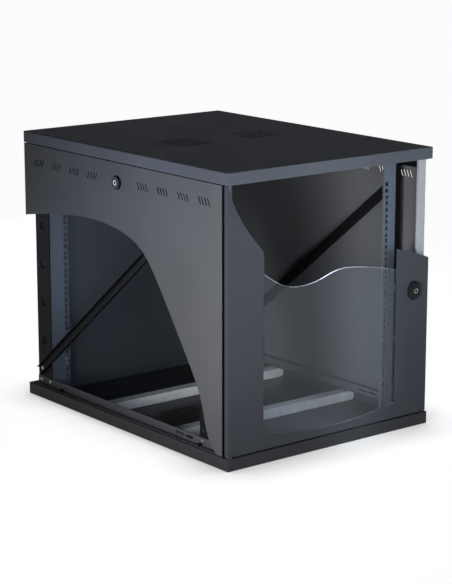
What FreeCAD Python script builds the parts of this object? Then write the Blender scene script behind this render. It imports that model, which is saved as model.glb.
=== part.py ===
import FreeCAD, Part
import math
import os
import re
import Sketcher

# Wall mount network cabinet, 12 units high, 600 wide and 800 deep.
# It is a display example: the left side panel, the door's sheet and the door's glass
# are cut open in smooth curves, so that the frame inside can be seen.
# Millimetres. The origin is the middle of the tray's underside, -Y is the door, +Z is up.

SIZES = [
    ("width", 600, "overall width of cover and tray"),
    ("depth", 800, "overall depth of cover and tray"),
    ("height", 660, "overall height"),
    ("cover_rim", 27, "height of the cover's rim"),
    ("tray_rim", 28, "height of the tray's rim"),
    ("skin", 1.2, "sheet of cover, back, side panels and door"),
    ("frame_sheet", 1.5, "sheet of tray, depth rails, door posts, bars and braces"),
    ("rail_sheet", 2, "sheet of the rack rails and their posts"),
    ("edge_round", 2, "rounded outer edges of cover and tray"),
    ("leg_inset", 20, "outer side to the depth rails"),
    ("leg_low_height", 19, "upstand of the lower depth rails"),
    ("leg_top_height", 23, "hanging leg of the upper depth rails"),
    ("foot_width", 14, "foot of a depth rail"),
    ("shelf_margin", 0.5, "rim return beyond the posts that stand on it"),
    ("back_recess", 30, "recess behind the back panel"),
    ("back_return", 15, "folded side edge of the back panel"),
    ("fit_gap", 0.3, "gap between pieces that lie side by side"),
    ("face_setback", 3.5, "front rim to the door's face"),
    ("door_thick", 12.5, "thickness of the door"),
    ("door_side_gap", 3.5, "door's edge to the overall side"),
    ("door_low_gap", 3, "gap under the door"),
    ("door_top_gap", 2, "gap above the door"),
    ("door_lip", 8, "inward lip round the door's back"),
    ("post_gap", 5, "gap between the door and its posts"),
    ("post_return", 7, "depth of a door post's return"),
    ("panel_inset", 1.5, "overall side to the face of a side panel"),
    ("panel_depth", 17, "depth of a side panel's folded edges"),
    ("panel_low_gap", 0.8, "side panel above the depth rail's foot"),
    ("panel_top_gap", 1, "side panel below the depth rail's foot"),
    ("units", 12, "rack units"),
    ("unit_pitch", 44.45, "height of a rack unit"),
    ("first_hole", 48.9, "height of the lowest square hole"),
    ("hole_step_long", 15.875, "longer spacing inside a unit"),
    ("square_hole", 9.5, "square hole for a cage nut"),
    ("hole_columns", 465, "between the two columns of square holes"),
    ("rail_opening", 450, "clear width between the rails"),
    ("front_rail_setback", 80, "overall front to the front rails"),
    ("front_rail_face", 35, "width of a front rail's face"),
    ("front_post_depth", 48, "depth of a front post"),
    ("rear_rail_setback", 73, "rear rails to the overall back"),
    ("rear_post_depth", 60, "depth of a rear post"),
    ("post_lap", 19.5, "edge of a post's flange beyond the rail opening"),
    ("post_hole", 20, "round cable hole in a rear post"),
    ("post_hole_pitch", 95.8, "spacing of the round holes"),
    ("post_hole_low", 141, "height of the lowest round hole"),
    ("small_hole", 6, "small round hole in a front post"),
    ("small_hole_low", 62, "height of the lowest small hole"),
    ("bar_width", 30, "width of a crossbar"),
    ("bar_height", 22.5, "height of a crossbar"),
    ("bar_front", 148, "front crossbar's face ahead of the middle"),
    ("bar_rear", 122, "rear crossbar's face behind the middle"),
    ("bar_end_gap", 3.5, "crossbar's end to the rim's inner face"),
    ("bar_corner", 7, "rounded lower corner of a crossbar's end"),
    ("brace_width", 22, "width of a diagonal brace"),
    ("brace_lip", 8, "lip of a diagonal brace"),
    ("brace_end", 12, "end of a brace beyond its bolt"),
    ("brace_left_back", 41, "left brace's low bolt behind the rear rail"),
    ("brace_left_low", 40, "left brace's low bolt above the tray's rim"),
    ("brace_left_front", 35, "left brace's high bolt behind the front rail"),
    ("brace_left_high", 41, "left brace's high bolt below the cover's rim"),
    ("brace_right_back", 15, "right brace's low bolt behind the rear rail"),
    ("brace_right_low", 38, "right brace's low bolt above the tray's rim"),
    ("brace_right_front", 30, "right brace's high bolt behind the front rail"),
    ("brace_right_high", 67, "right brace's high bolt below the cover's rim"),
    ("grille_rows", 4, "rows of slots in a grille"),
    ("grille_columns", 10, "slots in a row"),
    ("grille_row_pitch", 26, "spacing of the rows"),
    ("grille_pitch", 10, "spacing of the slots"),
    ("grille_slot", 14, "length of a grille slot"),
    ("grille_slot_width", 5, "width of a grille slot"),
    ("grille_offset", 105, "grille's middle to the cabinet's middle"),
    ("grille_behind", 6, "grilles behind the middle"),
    ("vent_drop", 72, "middle of the side vents below the top"),
    ("vent_first", 99, "middle of an inner group of vents to the lock"),
    ("vent_end", 74.2, "middle of an outer group to the panel's end"),
    ("vent_groups", 4, "groups of vents on each side of the lock"),
    ("vent_slot", 16, "height of a slanted vent slot"),
    ("vent_slot_width", 3.2, "width of a vent slot"),
    ("vent_pitch", 10.5, "spacing of the slots in a group"),
    ("vent_lean", 7.5, "lean of a vent slot over its height"),
    ("lock_behind", 10, "side locks behind the middle"),
    ("side_lock_drop", 75, "side locks below the top"),
    ("side_ring", 33, "outer diameter of a side lock"),
    ("side_ring_height", 5, "height of a side lock's ring"),
    ("lock_shank", 19, "threaded shank of a lock"),
    ("lock_plug", 13, "turning plug of a lock"),
    ("plug_clearance", 0.1, "radial clearance of the plug"),
    ("plug_proud", 0.8, "plug beyond its housing"),
    ("nut_size", 27, "across flats of a lock nut"),
    ("nut_height", 4, "height of a lock nut"),
    ("cam_thick", 2, "thickness of a cam"),
    ("cam_width", 14, "width of a cam"),
    ("side_cam_reach", 36, "reach of a side lock's cam"),
    ("cam_gap", 0.7, "cam behind what it catches"),
    ("cam_screw", 8, "head of the screw that holds a cam"),
    ("door_lock_inset", 50, "door lock to the overall side"),
    ("door_lock_drop", 331, "door lock below the top"),
    ("door_lock_wide", 36, "width of the door lock's dome"),
    ("door_lock_tall", 44.5, "height of the door lock's dome"),
    ("door_lock_proud", 9.5, "door lock beyond the door's face"),
    ("door_cam_reach", 30, "reach of the door lock's cam"),
    ("hinge_stile", 102.5, "overall side to the window at the hinges"),
    ("lock_stile", 104, "overall side to the window at the lock"),
    ("window_low", 70, "height of the window's lower corners"),
    ("window_dip", 20, "dip of the window's lower edge"),
    ("glass_thick", 4, "thickness of the glass"),
    ("glass_lap", 12, "glass behind the sheet round the window"),
    ("tape_thick", 0.8, "bonding tape between sheet and glass"),
    ("tape_width", 9, "width of the bonding tape"),
    ("hinge_side", 10.5, "hinge line to the overall side"),
    ("hinge_pin", 6, "diameter of the hinge pins"),
    ("hinge_bush", 9, "outer diameter of the hinge bush"),
    ("pin_collar", 12, "collar under the door"),
    ("bush_flange", 0.8, "thickness of the bush's flange"),
    ("upper_pin_travel", 9, "travel of the sprung hinge pin"),
    ("upper_pin_entry", 7, "sprung pin above the cover's return"),
    ("locator_pin", 8, "pin that locates a side panel"),
    ("locator_hole", 11, "hole for a locating pin"),
    ("locator_height", 5.5, "height of a locating pin"),
    ("locator_side", 12, "locating pin to the overall side"),
    ("locator_end", 123, "locating pins to the overall front and back"),
    ("locator_shift", 5.5, "locating pins ahead of the middle"),
    ("wall_bolts_wide", 450, "between the wall bolts, across"),
    ("wall_bolt_end", 110, "wall bolts to the overall top and bottom"),
    ("wall_bolt_hole", 9, "hole for a wall bolt"),
    ("wall_rail_tall", 64, "height of a wall rail with its flanges"),
    ("wall_rail_face", 36, "face of a wall rail against the wall"),
    ("wall_rail_end", 40, "wall rail beyond its bolts"),
    ("access_hole", 24, "access hole for a wall bolt"),
    ("plug_flange", 30, "flange of an access plug"),
    ("bolt_head", 10, "head of a frame bolt"),
    ("bolt_head_height", 1.5, "height of a bolt's head"),
    ("bolt_shank", 5, "shank of a frame bolt"),
    ("front_bolt_behind", 37, "front frame bolt behind the rail"),
    ("rear_bolt_first", 7, "first rear frame bolt behind the rail"),
    ("rear_bolt_second", 46, "second rear frame bolt behind the rail"),
    ("bolt_from_edge", 9, "frame bolt to a depth rail's free edge"),
    ("rail_slot", 28, "length of an adjusting slot"),
    ("rail_slot_width", 6, "width of an adjusting slot"),
    ("rail_slot_pitch", 35, "spacing of the adjusting slots"),
    ("rail_slot_behind", 84, "first adjusting slot behind the bolt"),
    ("rack_screw_head", 12, "head of a rack screw"),
    ("earth_stud", 6, "diameter of the earth stud"),
    ("earth_length", 22, "length of the earth stud"),
    ("earth_ahead", 52, "earth stud ahead of the rear rail"),
    ("earth_height", 40, "height of the earth stud"),
    ("earth_nut", 10, "across flats of the earth nuts"),
    ("tape_margin", 1, "tape inside the glass's edge"),
    ("tape_left_drop", 230, "end of the left tape below the top"),
    ("tape_right_drop", 284, "end of the right tape below the top"),
    ("clip_low", 100, "height of the lowest glass clips"),
    ("clip_left_drop", 270, "highest left glass clip below the top"),
    ("clip_right_drop", 320, "highest right glass clip below the top"),
    ("clip_width", 14, "width of a glass clip"),
    ("clip_sheet", 1, "thickness of a glass clip"),
    ("clip_foot", 11, "foot and arm of a glass clip"),
    ("clip_stud", 3, "stud welded to the door for a clip"),
    ("clip_stud_edge", 4.5, "stud to the end of the clip's foot"),
    ("clip_stud_length", 5, "length of a clip's stud"),
    ("clip_nut", 5.5, "across flats of a clip's nut"),
    ("clip_nut_height", 2.4, "height of a clip's nut"),
    ("door_lock_round", 4.5, "rounding of the door lock's dome"),
    ("key_slot", 2, "width of the key slot"),
    ("bush_length", 8, "hinge bush and pin inside the door"),
    ("lug_drop", 78, "upper hinge's lower lug below the cover's rim"),
    ("lug_spread", 35, "between the lugs of the upper hinge"),
    ("lug_thick", 3, "thickness of a lug"),
    ("lug_reach", 11.5, "reach of a lug from the door's edge"),
    ("pull_length", 15, "sprung pin below its lower lug"),
    ("collar_thick", 2, "collar on the sprung pin"),
    ("spring_collar", 8.4, "diameter of the sprung pin's collars"),
    ("spring_coil", 7.4, "middle diameter of the spring"),
    ("spring_wire", 0.8, "wire of the spring"),
    ("spring_turns", 6, "turns of the spring"),
]

# The display cut-aways, each one smooth curve.
# Side panel: share of the depth from the front, share of the height.
ARCH_CURVE = [(1.0013, 0.6864), (0.865, 0.7136), (0.6775, 0.7348), (0.5188, 0.7242), (0.3938, 0.6697),
              (0.325, 0.5818), (0.195, 0.3621), (0.1163, 0.1955), (0.09, 0.097), (0.0488, 0.0439)]
# Door: share of a stile from the door's edge to the window, distance below the top.
HINGE_STILE_CURVE = [(0.0256, 26), (0.1487, 68), (0.3538, 105), (0.7641, 158), (1, 184)]
LOCK_STILE_CURVE = [(1, 227), (0.5179, 240), (-0.005, 259)]
# Glass: share of its width from the left, distance below the top.
GLASS_CURVE = [(0, 222), (0.097, 250), (0.1665, 265), (0.2503, 273.4), (0.3413, 273), (0.4275, 266),
               (0.521, 254), (0.6072, 250.3), (0.703, 254), (0.8539, 264.4), (1, 279)]

doc = FreeCAD.newDocument("network_cabinet")
sheet = doc.addObject("Spreadsheet::Sheet", "Sizes")
for row, (name, number, meaning) in enumerate(SIZES, start=1):
    sheet.set(f"A{row}", name)
    sheet.set(f"B{row}", str(number))
    sheet.set(f"C{row}", meaning)
    sheet.setAlias(f"B{row}", name)
doc.recompute()

NAME = re.compile(r"[a-z][a-z_]+")
subparts = []


def bound(formula):
    """The formula with each size read from the sheet, as an expression takes it."""
    return NAME.sub(r"Sizes.\g<0>", formula)


def value(formula):
    """What a formula of sizes comes to now."""
    numbers = NAME.sub(lambda found: f"({float(sheet.get(found.group(0)))!r})", formula)
    return FreeCAD.Units.Quantity(numbers).Value


def point(x, y, z):
    return FreeCAD.Vector(value(x), value(y), value(z))


def subpart(thing, name):
    thing.Label = name
    subparts.append(thing)
    return thing


def box(low, high):
    """A box between two corners, each given as three formulas."""
    solid = doc.addObject("Part::Box", "block")
    for size, axis, start, end in zip(("Length", "Width", "Height"), "xyz", low, high):
        solid.setExpression(size, bound(f"({end}) - ({start})"))
        solid.setExpression(f".Placement.Base.{axis}", bound(start))
    return solid


def sided(side, near, far):
    """Two distances from the middle plane as low and high X on one side of it."""
    return (f"-({far})", f"-({near})") if side < 0 else (near, far)


def side_box(side, near, far, low_y, high_y, low_z, high_z):
    low_x, high_x = sided(side, near, far)
    return box((low_x, low_y, low_z), (high_x, high_y, high_z))


AXIS_TURN = {
    "x": FreeCAD.Rotation(FreeCAD.Vector(0, 1, 0), 90),
    "y": FreeCAD.Rotation(FreeCAD.Vector(1, 0, 0), -90),
    "z": FreeCAD.Rotation(),
}


def cylinder(diameter, start, length, axis):
    """A cylinder from a start point along +X, +Y or +Z."""
    solid = doc.addObject("Part::Cylinder", "round")
    solid.Placement = FreeCAD.Placement(FreeCAD.Vector(), AXIS_TURN[axis])
    solid.setExpression("Radius", bound(f"({diameter}) / 2"))
    solid.setExpression("Height", bound(length))
    for name, formula in zip("xyz", start):
        solid.setExpression(f".Placement.Base.{name}", bound(formula))
    return solid


def fuse(*pieces):
    joined = doc.addObject("Part::MultiFuse", "joined")
    joined.Shapes = list(pieces)
    joined.Refine = True
    return joined


def cut(base, *tools):
    pared = doc.addObject("Part::Cut", "pared")
    pared.Base = base
    pared.Tool = tools[0] if len(tools) == 1 else fuse(*tools)
    return pared


def made(shape, name="shape"):
    """A shape worked out from the sizes, where no primitive or profile fits."""
    thing = doc.addObject("Part::Feature", name)
    thing.Shape = shape
    return thing


def rounded(base, radius, chosen, kind="Part::Fillet"):
    """Fillets of one radius on the edges that a test of two end points picks."""
    doc.recompute()
    picked = []
    for number, edge in enumerate(base.Shape.Edges, start=1):
        ends = [vertex.Point for vertex in edge.Vertexes]
        if chosen(ends[0], ends[-1]):
            picked.append((number, value(radius), value(radius)))
    fillet = doc.addObject(kind, "rounded")
    fillet.Base = base
    fillet.Edges = picked
    return fillet


def bevelled(base, size, chosen):
    return rounded(base, size, chosen, "Part::Chamfer")


def origin_part(body, role):
    return next(item for item in body.Origin.OriginFeatures if item.Role == role)


def sketch(body, role, loops):
    """A sketch of closed outlines whose corners are bound to the sheet."""
    drawing = body.newObject("Sketcher::SketchObject", "outline")
    drawing.AttachmentSupport = [(origin_part(body, role), "")]
    drawing.MapMode = "FlatFace"
    for corners in loops:
        places = [FreeCAD.Vector(value(across), value(up), 0) for across, up in corners]
        first = drawing.GeometryCount
        count = len(places)
        for index in range(count):
            line = Part.LineSegment(places[index], places[(index + 1) % count])
            drawing.addGeometry(line, False)
        for index in range(count):
            following = first + (index + 1) % count
            drawing.addConstraint(Sketcher.Constraint("Coincident", first + index, 2, following, 1))
        for index, (across, up) in enumerate(corners):
            for kind, formula in (("DistanceX", across), ("DistanceY", up)):
                limit = Sketcher.Constraint(kind, -1, 1, first + index, 1, value(formula))
                number = drawing.addConstraint(limit)
                drawing.setExpression(f"Constraints[{number}]", bound(formula))
    return drawing


def profile(name, role, corners, length, start, turn=FreeCAD.Rotation()):
    """A body of one section, padded along the normal of its plane and then turned."""
    body = doc.addObject("PartDesign::Body", name)
    body.Placement = FreeCAD.Placement(FreeCAD.Vector(), turn)
    pad = body.newObject("PartDesign::Pad", "pad")
    pad.Profile = sketch(body, role, [corners])
    pad.setExpression("Length", bound(length))
    for axis, formula in zip("xyz", start):
        body.setExpression(f".Placement.Base.{axis}", bound(formula))
    doc.recompute()
    return body


def pocket(body, role, loops):
    """Cuts outlines right through a body, to both sides of their plane."""
    opening = body.newObject("PartDesign::Pocket", "pocket")
    opening.Profile = sketch(body, role, loops)
    opening.SideType = "Symmetric"
    opening.Type = "Length"
    opening.setExpression("Length", bound("4 * width"))
    return opening


def repeated(body, feature, role, count, length):
    """A feature repeated along one of the body's axes."""
    row = body.newObject("PartDesign::LinearPattern", "row")
    row.Originals = [feature]
    row.Direction = (origin_part(body, role), [""])
    row.setExpression("Length", bound(length))
    row.setExpression("Occurrences", bound(count))
    body.Tip = row
    return row


def mirrored(side, corners):
    """Section corners given for the right side, on the side that is asked for."""
    return corners if side > 0 else [(f"-({across})", up) for across, up in corners]


def smooth_prism(curve, closing, axis, start, thickness):
    """A prism whose outline is one smooth curve closed by straight lines."""
    if axis == "x":
        place = [FreeCAD.Vector(start, *pair) for pair in curve]
        corners = [FreeCAD.Vector(start, *pair) for pair in closing]
        along = FreeCAD.Vector(thickness, 0, 0)
    else:
        place = [FreeCAD.Vector(pair[0], start, pair[1]) for pair in curve]
        corners = [FreeCAD.Vector(pair[0], start, pair[1]) for pair in closing]
        along = FreeCAD.Vector(0, thickness, 0)
    spline = Part.BSplineCurve()
    spline.interpolate(place)
    rest = Part.makePolygon([place[-1]] + corners + [place[0]])
    wire = Part.Wire([spline.toShape()] + rest.Edges)
    return Part.Face(wire).extrude(along)


SIDES = {-1: "left", 1: "right"}

# Places that several pieces share
FRONT = "-depth / 2"
BACK = "depth / 2"
HALF = "width / 2"
SHELF = "tray_rim"
CEILING = "height - cover_rim"
LEG_OUT = "width / 2 - leg_inset"
LEG_IN = "width / 2 - leg_inset - frame_sheet"
POST_IN = "width / 2 - leg_inset - frame_sheet - rail_sheet"
RIM_IN = "width / 2 - leg_inset - frame_sheet - rail_sheet - shelf_margin"
DOOR_FACE = "-depth / 2 + face_setback"
DOOR_BACK = "-depth / 2 + face_setback + door_thick"
DOOR_SIDE = "width / 2 - door_side_gap"
DOOR_LOW = "tray_rim + door_low_gap"
DOOR_TOP = "height - cover_rim - door_top_gap"
POST_FACE = "-depth / 2 + face_setback + door_thick + post_gap"
FRAME_FRONT = "-depth / 2 + face_setback + door_thick + post_gap + post_return"
BACK_FACE = "depth / 2 - back_recess"
FRONT_RAIL = "-depth / 2 + front_rail_setback"
REAR_RAIL = "depth / 2 - rear_rail_setback"
FRAME_BACK = "depth / 2 - rear_rail_setback + rear_post_depth"
PANEL_FRONT = "-depth / 2 + face_setback + door_thick + post_gap + frame_sheet + fit_gap"
PANEL_OUT = "width / 2 - panel_inset"
PANEL_IN = "width / 2 - panel_inset - panel_depth"
PANEL_LOW = "tray_rim + frame_sheet + panel_low_gap"
PANEL_TOP = "height - cover_rim - frame_sheet - panel_top_gap"
LUG_LOW = "height - cover_rim - lug_drop"
LOCK_X = "width / 2 - door_lock_inset"
LOCK_Z = "height - door_lock_drop"
SIDE_LOCK_Z = "height - side_lock_drop"
WINDOW_LEFT = "width / 2 - hinge_stile"
WINDOW_RIGHT = "width / 2 - lock_stile"
WALL_BOLT_RISE = "(height / 2 - wall_bolt_end)"
EARTH_Y = "depth / 2 - rear_rail_setback - earth_ahead"
HINGE_X = "-(width / 2 - hinge_side)"
HINGE_Y = "-depth / 2 + face_setback + door_thick / 2"


def grille_slots(low_z, high_z):
    """Both grilles of the cover or the tray, as one tool."""
    slots = []
    length = value("grille_slot")
    wide = value("grille_slot_width")
    for middle in (-value("grille_offset"), value("grille_offset")):
        for row in range(int(value("grille_rows"))):
            y = value("grille_behind") + (row - (value("grille_rows") - 1) / 2) * value("grille_row_pitch")
            for column in range(int(value("grille_columns"))):
                x = middle + (column - (value("grille_columns") - 1) / 2) * value("grille_pitch")
                corner = FreeCAD.Vector(x - wide / 2, y - length / 2, low_z)
                slots.append(Part.makeBox(wide, length, high_z - low_z, corner))
    return made(Part.makeCompound(slots), "grille_slots")


def is_upright(start, end):
    """True for an upright edge, which has both ends at one X and Y."""
    return abs(start.x - end.x) < 0.01 and abs(start.y - end.y) < 0.01


def make_cover():
    pan = box((f"-({HALF})", FRONT, CEILING), (HALF, BACK, "height"))
    top = value("height")
    soft = rounded(pan, "edge_round", lambda start, end: is_upright(start, end)
                   or (abs(start.z - top) < 0.01 and abs(end.z - top) < 0.01))
    hollow = box((f"-({HALF} - skin)", f"{FRONT} + skin", f"{CEILING} + skin"),
                 (f"{HALF} - skin", f"{BACK} - skin", "height - skin"))
    mouth = box((f"-({RIM_IN})", FRAME_FRONT, CEILING), (RIM_IN, BACK_FACE, f"{CEILING} + skin"))
    pin_hole = cylinder("hinge_pin + 2 * fit_gap", (HINGE_X, HINGE_Y, CEILING), "skin", "z")
    slots = grille_slots(value("height - 2 * skin"), value("height + skin"))
    subpart(cut(soft, hollow, mouth, pin_hole, slots), "top_cover")


def make_tray():
    pan = box((f"-({HALF})", FRONT, "0"), (HALF, BACK, SHELF))
    soft = rounded(pan, "edge_round", lambda start, end: is_upright(start, end)
                   or (abs(start.z) < 0.01 and abs(end.z) < 0.01))
    hollow = box((f"-({HALF} - frame_sheet)", f"{FRONT} + frame_sheet", "frame_sheet"),
                 (f"{HALF} - frame_sheet", f"{BACK} - frame_sheet", f"{SHELF} - frame_sheet"))
    mouth = box((f"-({RIM_IN})", FRAME_FRONT, f"{SHELF} - frame_sheet"), (RIM_IN, BACK_FACE, SHELF))
    slots = grille_slots(-value("frame_sheet"), value("2 * frame_sheet"))
    subpart(cut(soft, hollow, mouth, slots), "base_tray")


def make_back_panel():
    """The back stands inside the tray and the cover, with its side edges folded to the wall."""
    edge = f"{POST_IN} - fit_gap"
    front = f"{BACK_FACE} - skin"
    plate = box((f"-({edge})", front, "frame_sheet"), (edge, BACK_FACE, "height - skin"))
    folds = [side_box(side, f"{edge} - skin", edge, BACK_FACE, f"{BACK_FACE} + back_return",
                      f"{SHELF} + fit_gap", f"{CEILING} - fit_gap") for side in SIDES]
    holes = [cylinder("access_hole", (across, front, height), "skin", "y")
             for across, height in wall_bolt_places()]
    holes += [across_hole(side, behind, height, "bolt_shank", f"{edge} - 2 * skin", f"{edge} + fit_gap")
              for side, behind, height in back_screw_places()]
    subpart(cut(fuse(plate, *folds), *holes), "back_panel")


def back_screw_places():
    return [(side, f"{BACK_FACE} + back_return / 2", f"height / 2 + {level} * {WALL_BOLT_RISE}")
            for side in SIDES for level in (-1, 0, 1)]


def wall_bolt_places():
    return [(f"{side} * wall_bolts_wide / 2", f"height / 2 + {level} * {WALL_BOLT_RISE}")
            for side in SIDES for level in (-1, 1)]


def make_wall_rails():
    """Hat sections between the back panel and the wall, which carry the cabinet."""
    for level, name in ((-1, "lower"), (1, "upper")):
        middle = f"height / 2 + {level} * {WALL_BOLT_RISE}"
        outer = "wall_rail_tall / 2"
        face = "wall_rail_face / 2"
        corners = [("0", f"-({outer})"), ("0", f"-({face}) + rail_sheet"),
                   ("back_recess - rail_sheet", f"-({face}) + rail_sheet"),
                   ("back_recess - rail_sheet", f"{face} - rail_sheet"), ("0", f"{face} - rail_sheet"),
                   ("0", outer), ("rail_sheet", outer), ("rail_sheet", face), ("back_recess", face),
                   ("back_recess", f"-({face})"), ("rail_sheet", f"-({face})"),
                   ("rail_sheet", f"-({outer})")]
        rail = profile("wall_rail", "YZ_Plane", corners, "wall_bolts_wide + 2 * wall_rail_end",
                       ("-(wall_bolts_wide / 2 + wall_rail_end)", BACK_FACE, middle))
        holes = [cylinder("wall_bolt_hole", (f"{side} * wall_bolts_wide / 2", BACK_FACE, middle),
                          "2 * back_recess", "y") for side in SIDES]
        subpart(cut(rail, *holes), f"wall_rail_{name}")


def make_access_plugs():
    """Caps that close the holes through which the wall bolts are turned."""
    caps = []
    for across, height in wall_bolt_places():
        flange = cylinder("plug_flange", (across, f"{BACK_FACE} - 2 * skin", height), "skin", "y")
        stem = cylinder("access_hole - 2 * plug_clearance", (across, f"{BACK_FACE} - skin", height),
                        "skin + frame_sheet", "y")
        caps.append(fuse(flange, stem))
    group(caps, "access_plugs")


def make_door_post(side):
    """An angle that the door shuts against, with a notch for the cam on the lock side."""
    corners = [("-(leg_inset + 2 * frame_sheet)", "0"), ("-panel_inset", "0"),
               ("-panel_inset", "frame_sheet"), ("-(leg_inset + frame_sheet)", "frame_sheet"),
               ("-(leg_inset + frame_sheet)", "post_return"),
               ("-(leg_inset + 2 * frame_sheet)", "post_return")]
    post = profile("door_post", "XY_Plane", mirrored(side, corners), f"{CEILING} - {SHELF}",
                   (f"{side} * ({HALF})", POST_FACE, SHELF))
    if side > 0:
        notch = box((f"{LEG_IN} - rail_sheet - cam_width", f"{POST_FACE} + frame_sheet",
                     f"{LOCK_Z} - door_cam_reach"),
                    (LEG_OUT, f"{FRAME_FRONT} + frame_sheet", f"{LOCK_Z} + cam_width"))
        post = cut(post, notch)
    subpart(post, f"door_post_{SIDES[side]}")


def make_depth_rail(side, upper):
    """An angle along one side, standing on the tray or hanging from the cover."""
    leg = "leg_top_height" if upper else "leg_low_height"
    base = CEILING if upper else SHELF
    up = "-1" if upper else "1"
    corners = [("-(leg_inset + frame_sheet)", "0"), ("-leg_inset + foot_width", "0"),
               ("-leg_inset + foot_width", f"{up} * frame_sheet"), ("-leg_inset", f"{up} * frame_sheet"),
               ("-leg_inset", f"{up} * {leg}"), ("-(leg_inset + frame_sheet)", f"{up} * {leg}")]
    rail = profile("depth_rail", "XZ_Plane", mirrored(side, corners), f"({FRAME_BACK}) - ({FRAME_FRONT})",
                   (f"{side} * ({HALF})", FRAME_BACK, base))
    edge = f"{base} + {up} * ({leg} - bolt_from_edge)"
    slots = []
    for index in (0, 1):
        near = (f"{FRONT_RAIL} + front_bolt_behind + rail_slot_behind - rail_slot / 2"
                f" - {index} * rail_slot_pitch")
        slots.append(side_box(side, f"{LEG_IN} - frame_sheet", f"{LEG_OUT} + frame_sheet",
                              near, f"{near} + rail_slot",
                              f"{edge} - rail_slot_width / 2", f"{edge} + rail_slot_width / 2"))
    holes = [across_hole(side, behind, edge, "bolt_shank", f"{POST_IN} - skin", f"{LEG_OUT} + skin")
             for behind in rail_bolt_places()]
    level = "top" if upper else "bottom"
    subpart(cut(rail, *slots, *holes), f"depth_rail_{level}_{SIDES[side]}")


def rail_bolt_places():
    return (f"{FRONT_RAIL} + front_bolt_behind", f"{REAR_RAIL} + rear_bolt_first",
            f"{REAR_RAIL} + rear_bolt_second")


def across_hole(side, behind, height, diameter, near, far):
    low_x, high_x = sided(side, near, far)
    return cylinder(diameter, (low_x, behind, height), f"({far}) - ({near})", "x")


def make_rack_rail(side, rear):
    """A 19-inch rail: a flat face with square holes and a short stiffening lip."""
    face = REAR_RAIL if rear else FRONT_RAIL
    outer = f"{POST_IN} - fit_gap" if rear else "rail_opening / 2 + front_rail_face"
    lip = "3 * rail_sheet"
    inner = "rail_opening / 2"
    corners = [(inner, "0"), (outer, "0"), (outer, "rail_sheet"), (f"{inner} + rail_sheet", "rail_sheet"),
               (f"{inner} + rail_sheet", lip), (inner, lip)]
    rail = profile("rack_rail", "XY_Plane", mirrored(side, corners), f"{CEILING} - {SHELF}",
                   ("0", face, SHELF))
    middle = f"{side} * hole_columns / 2"
    squares = []
    for step in (0, 1, 2):
        height = f"first_hole + {step} * hole_step_long - {SHELF}"
        squares.append([(f"{middle} - square_hole / 2", f"{height} - square_hole / 2"),
                        (f"{middle} + square_hole / 2", f"{height} - square_hole / 2"),
                        (f"{middle} + square_hole / 2", f"{height} + square_hole / 2"),
                        (f"{middle} - square_hole / 2", f"{height} + square_hole / 2")])
    repeated(rail, pocket(rail, "XZ_Plane", squares), "Z_Axis", "units", "(units - 1) * unit_pitch")
    subpart(rail, f"rack_rail_{'rear' if rear else 'front'}_{SIDES[side]}")


def make_post(side, rear):
    """The black angle behind a rail, bolted to the depth rails at both ends."""
    face = f"{REAR_RAIL} + rail_sheet" if rear else f"{FRONT_RAIL} + rail_sheet"
    reach = "rear_post_depth - rail_sheet" if rear else "front_post_depth - rail_sheet"
    inner = "rail_opening / 2 + post_lap"
    corners = [(inner, "0"), (LEG_IN, "0"), (LEG_IN, reach), (POST_IN, reach), (POST_IN, "rail_sheet"),
               (inner, "rail_sheet")]
    post = profile("post", "XY_Plane", mirrored(side, corners), f"{CEILING} - {SHELF}", ("0", face, SHELF))
    near, far = f"{POST_IN} - skin", f"{LEG_IN} + skin"
    ends = (f"{SHELF} + leg_low_height - bolt_from_edge", f"{CEILING} - leg_top_height + bolt_from_edge")
    places = rail_bolt_places()[1:] if rear else rail_bolt_places()[:1]
    holes = [across_hole(side, behind, height, "bolt_shank", near, far)
             for behind in places for height in ends]
    behind, height = brace_place(side, 0 if rear else 1)
    holes.append(across_hole(side, behind, height, "bolt_shank", near, far))
    if rear:
        holes += [across_hole(side, behind, height, "bolt_shank", near, far)
                  for of_side, behind, height in back_screw_places() if of_side == side]
        middle = f"{REAR_RAIL} + rear_post_depth / 2"
        holes += [across_hole(side, middle, f"post_hole_low + {index} * post_hole_pitch", "post_hole",
                              near, far) for index in range(5)]
    else:
        middle = f"{FRONT_RAIL} + front_bolt_behind"
        holes += [across_hole(side, middle, f"small_hole_low + {index} * unit_pitch", "small_hole",
                              near, far) for index in range(int(value("units")))]
    subpart(cut(post, *holes), f"{'rear' if rear else 'front'}_post_{SIDES[side]}")


def brace_place(side, end):
    """A brace's bolt: its low one stands at the rear rail, its high one at the front rail."""
    name = f"brace_{SIDES[side]}"
    if end == 0:
        return f"{REAR_RAIL} + {name}_back", f"{SHELF} + {name}_low"
    return f"{FRONT_RAIL} + {name}_front", f"{CEILING} - {name}_high"


def make_brace(side):
    """A channel from the foot of the rear post to the head of the front post."""
    low = point("0", *brace_place(side, 0))
    run = point("0", *brace_place(side, 1)) - low
    half = "brace_width / 2"
    corners = [("0", f"-({half})"), ("brace_lip", f"-({half})"), ("brace_lip", f"-({half}) + frame_sheet"),
               ("frame_sheet", f"-({half}) + frame_sheet"), ("frame_sheet", f"{half} - frame_sheet"),
               ("brace_lip", f"{half} - frame_sheet"), ("brace_lip", half), ("0", half)]
    direction = FreeCAD.Vector(run).normalize()
    across = FreeCAD.Vector(1, 0, 0)
    turn = FreeCAD.Rotation(across, direction.cross(across), direction, "ZXY")
    start = (f"{side} * ({LEG_IN})", f"{low.y} - ({direction.y}) * brace_end",
             f"{low.z} - ({direction.z}) * brace_end")
    channel = profile("brace", "XY_Plane", mirrored(side, corners), f"{run.Length} + 2 * brace_end",
                      start, turn)
    holes = [across_hole(side, *brace_place(side, end), "bolt_shank", f"{LEG_IN} - skin",
                         f"{LEG_OUT} + skin") for end in (0, 1)]
    subpart(cut(channel, *holes), f"diagonal_brace_{SIDES[side]}")


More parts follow.
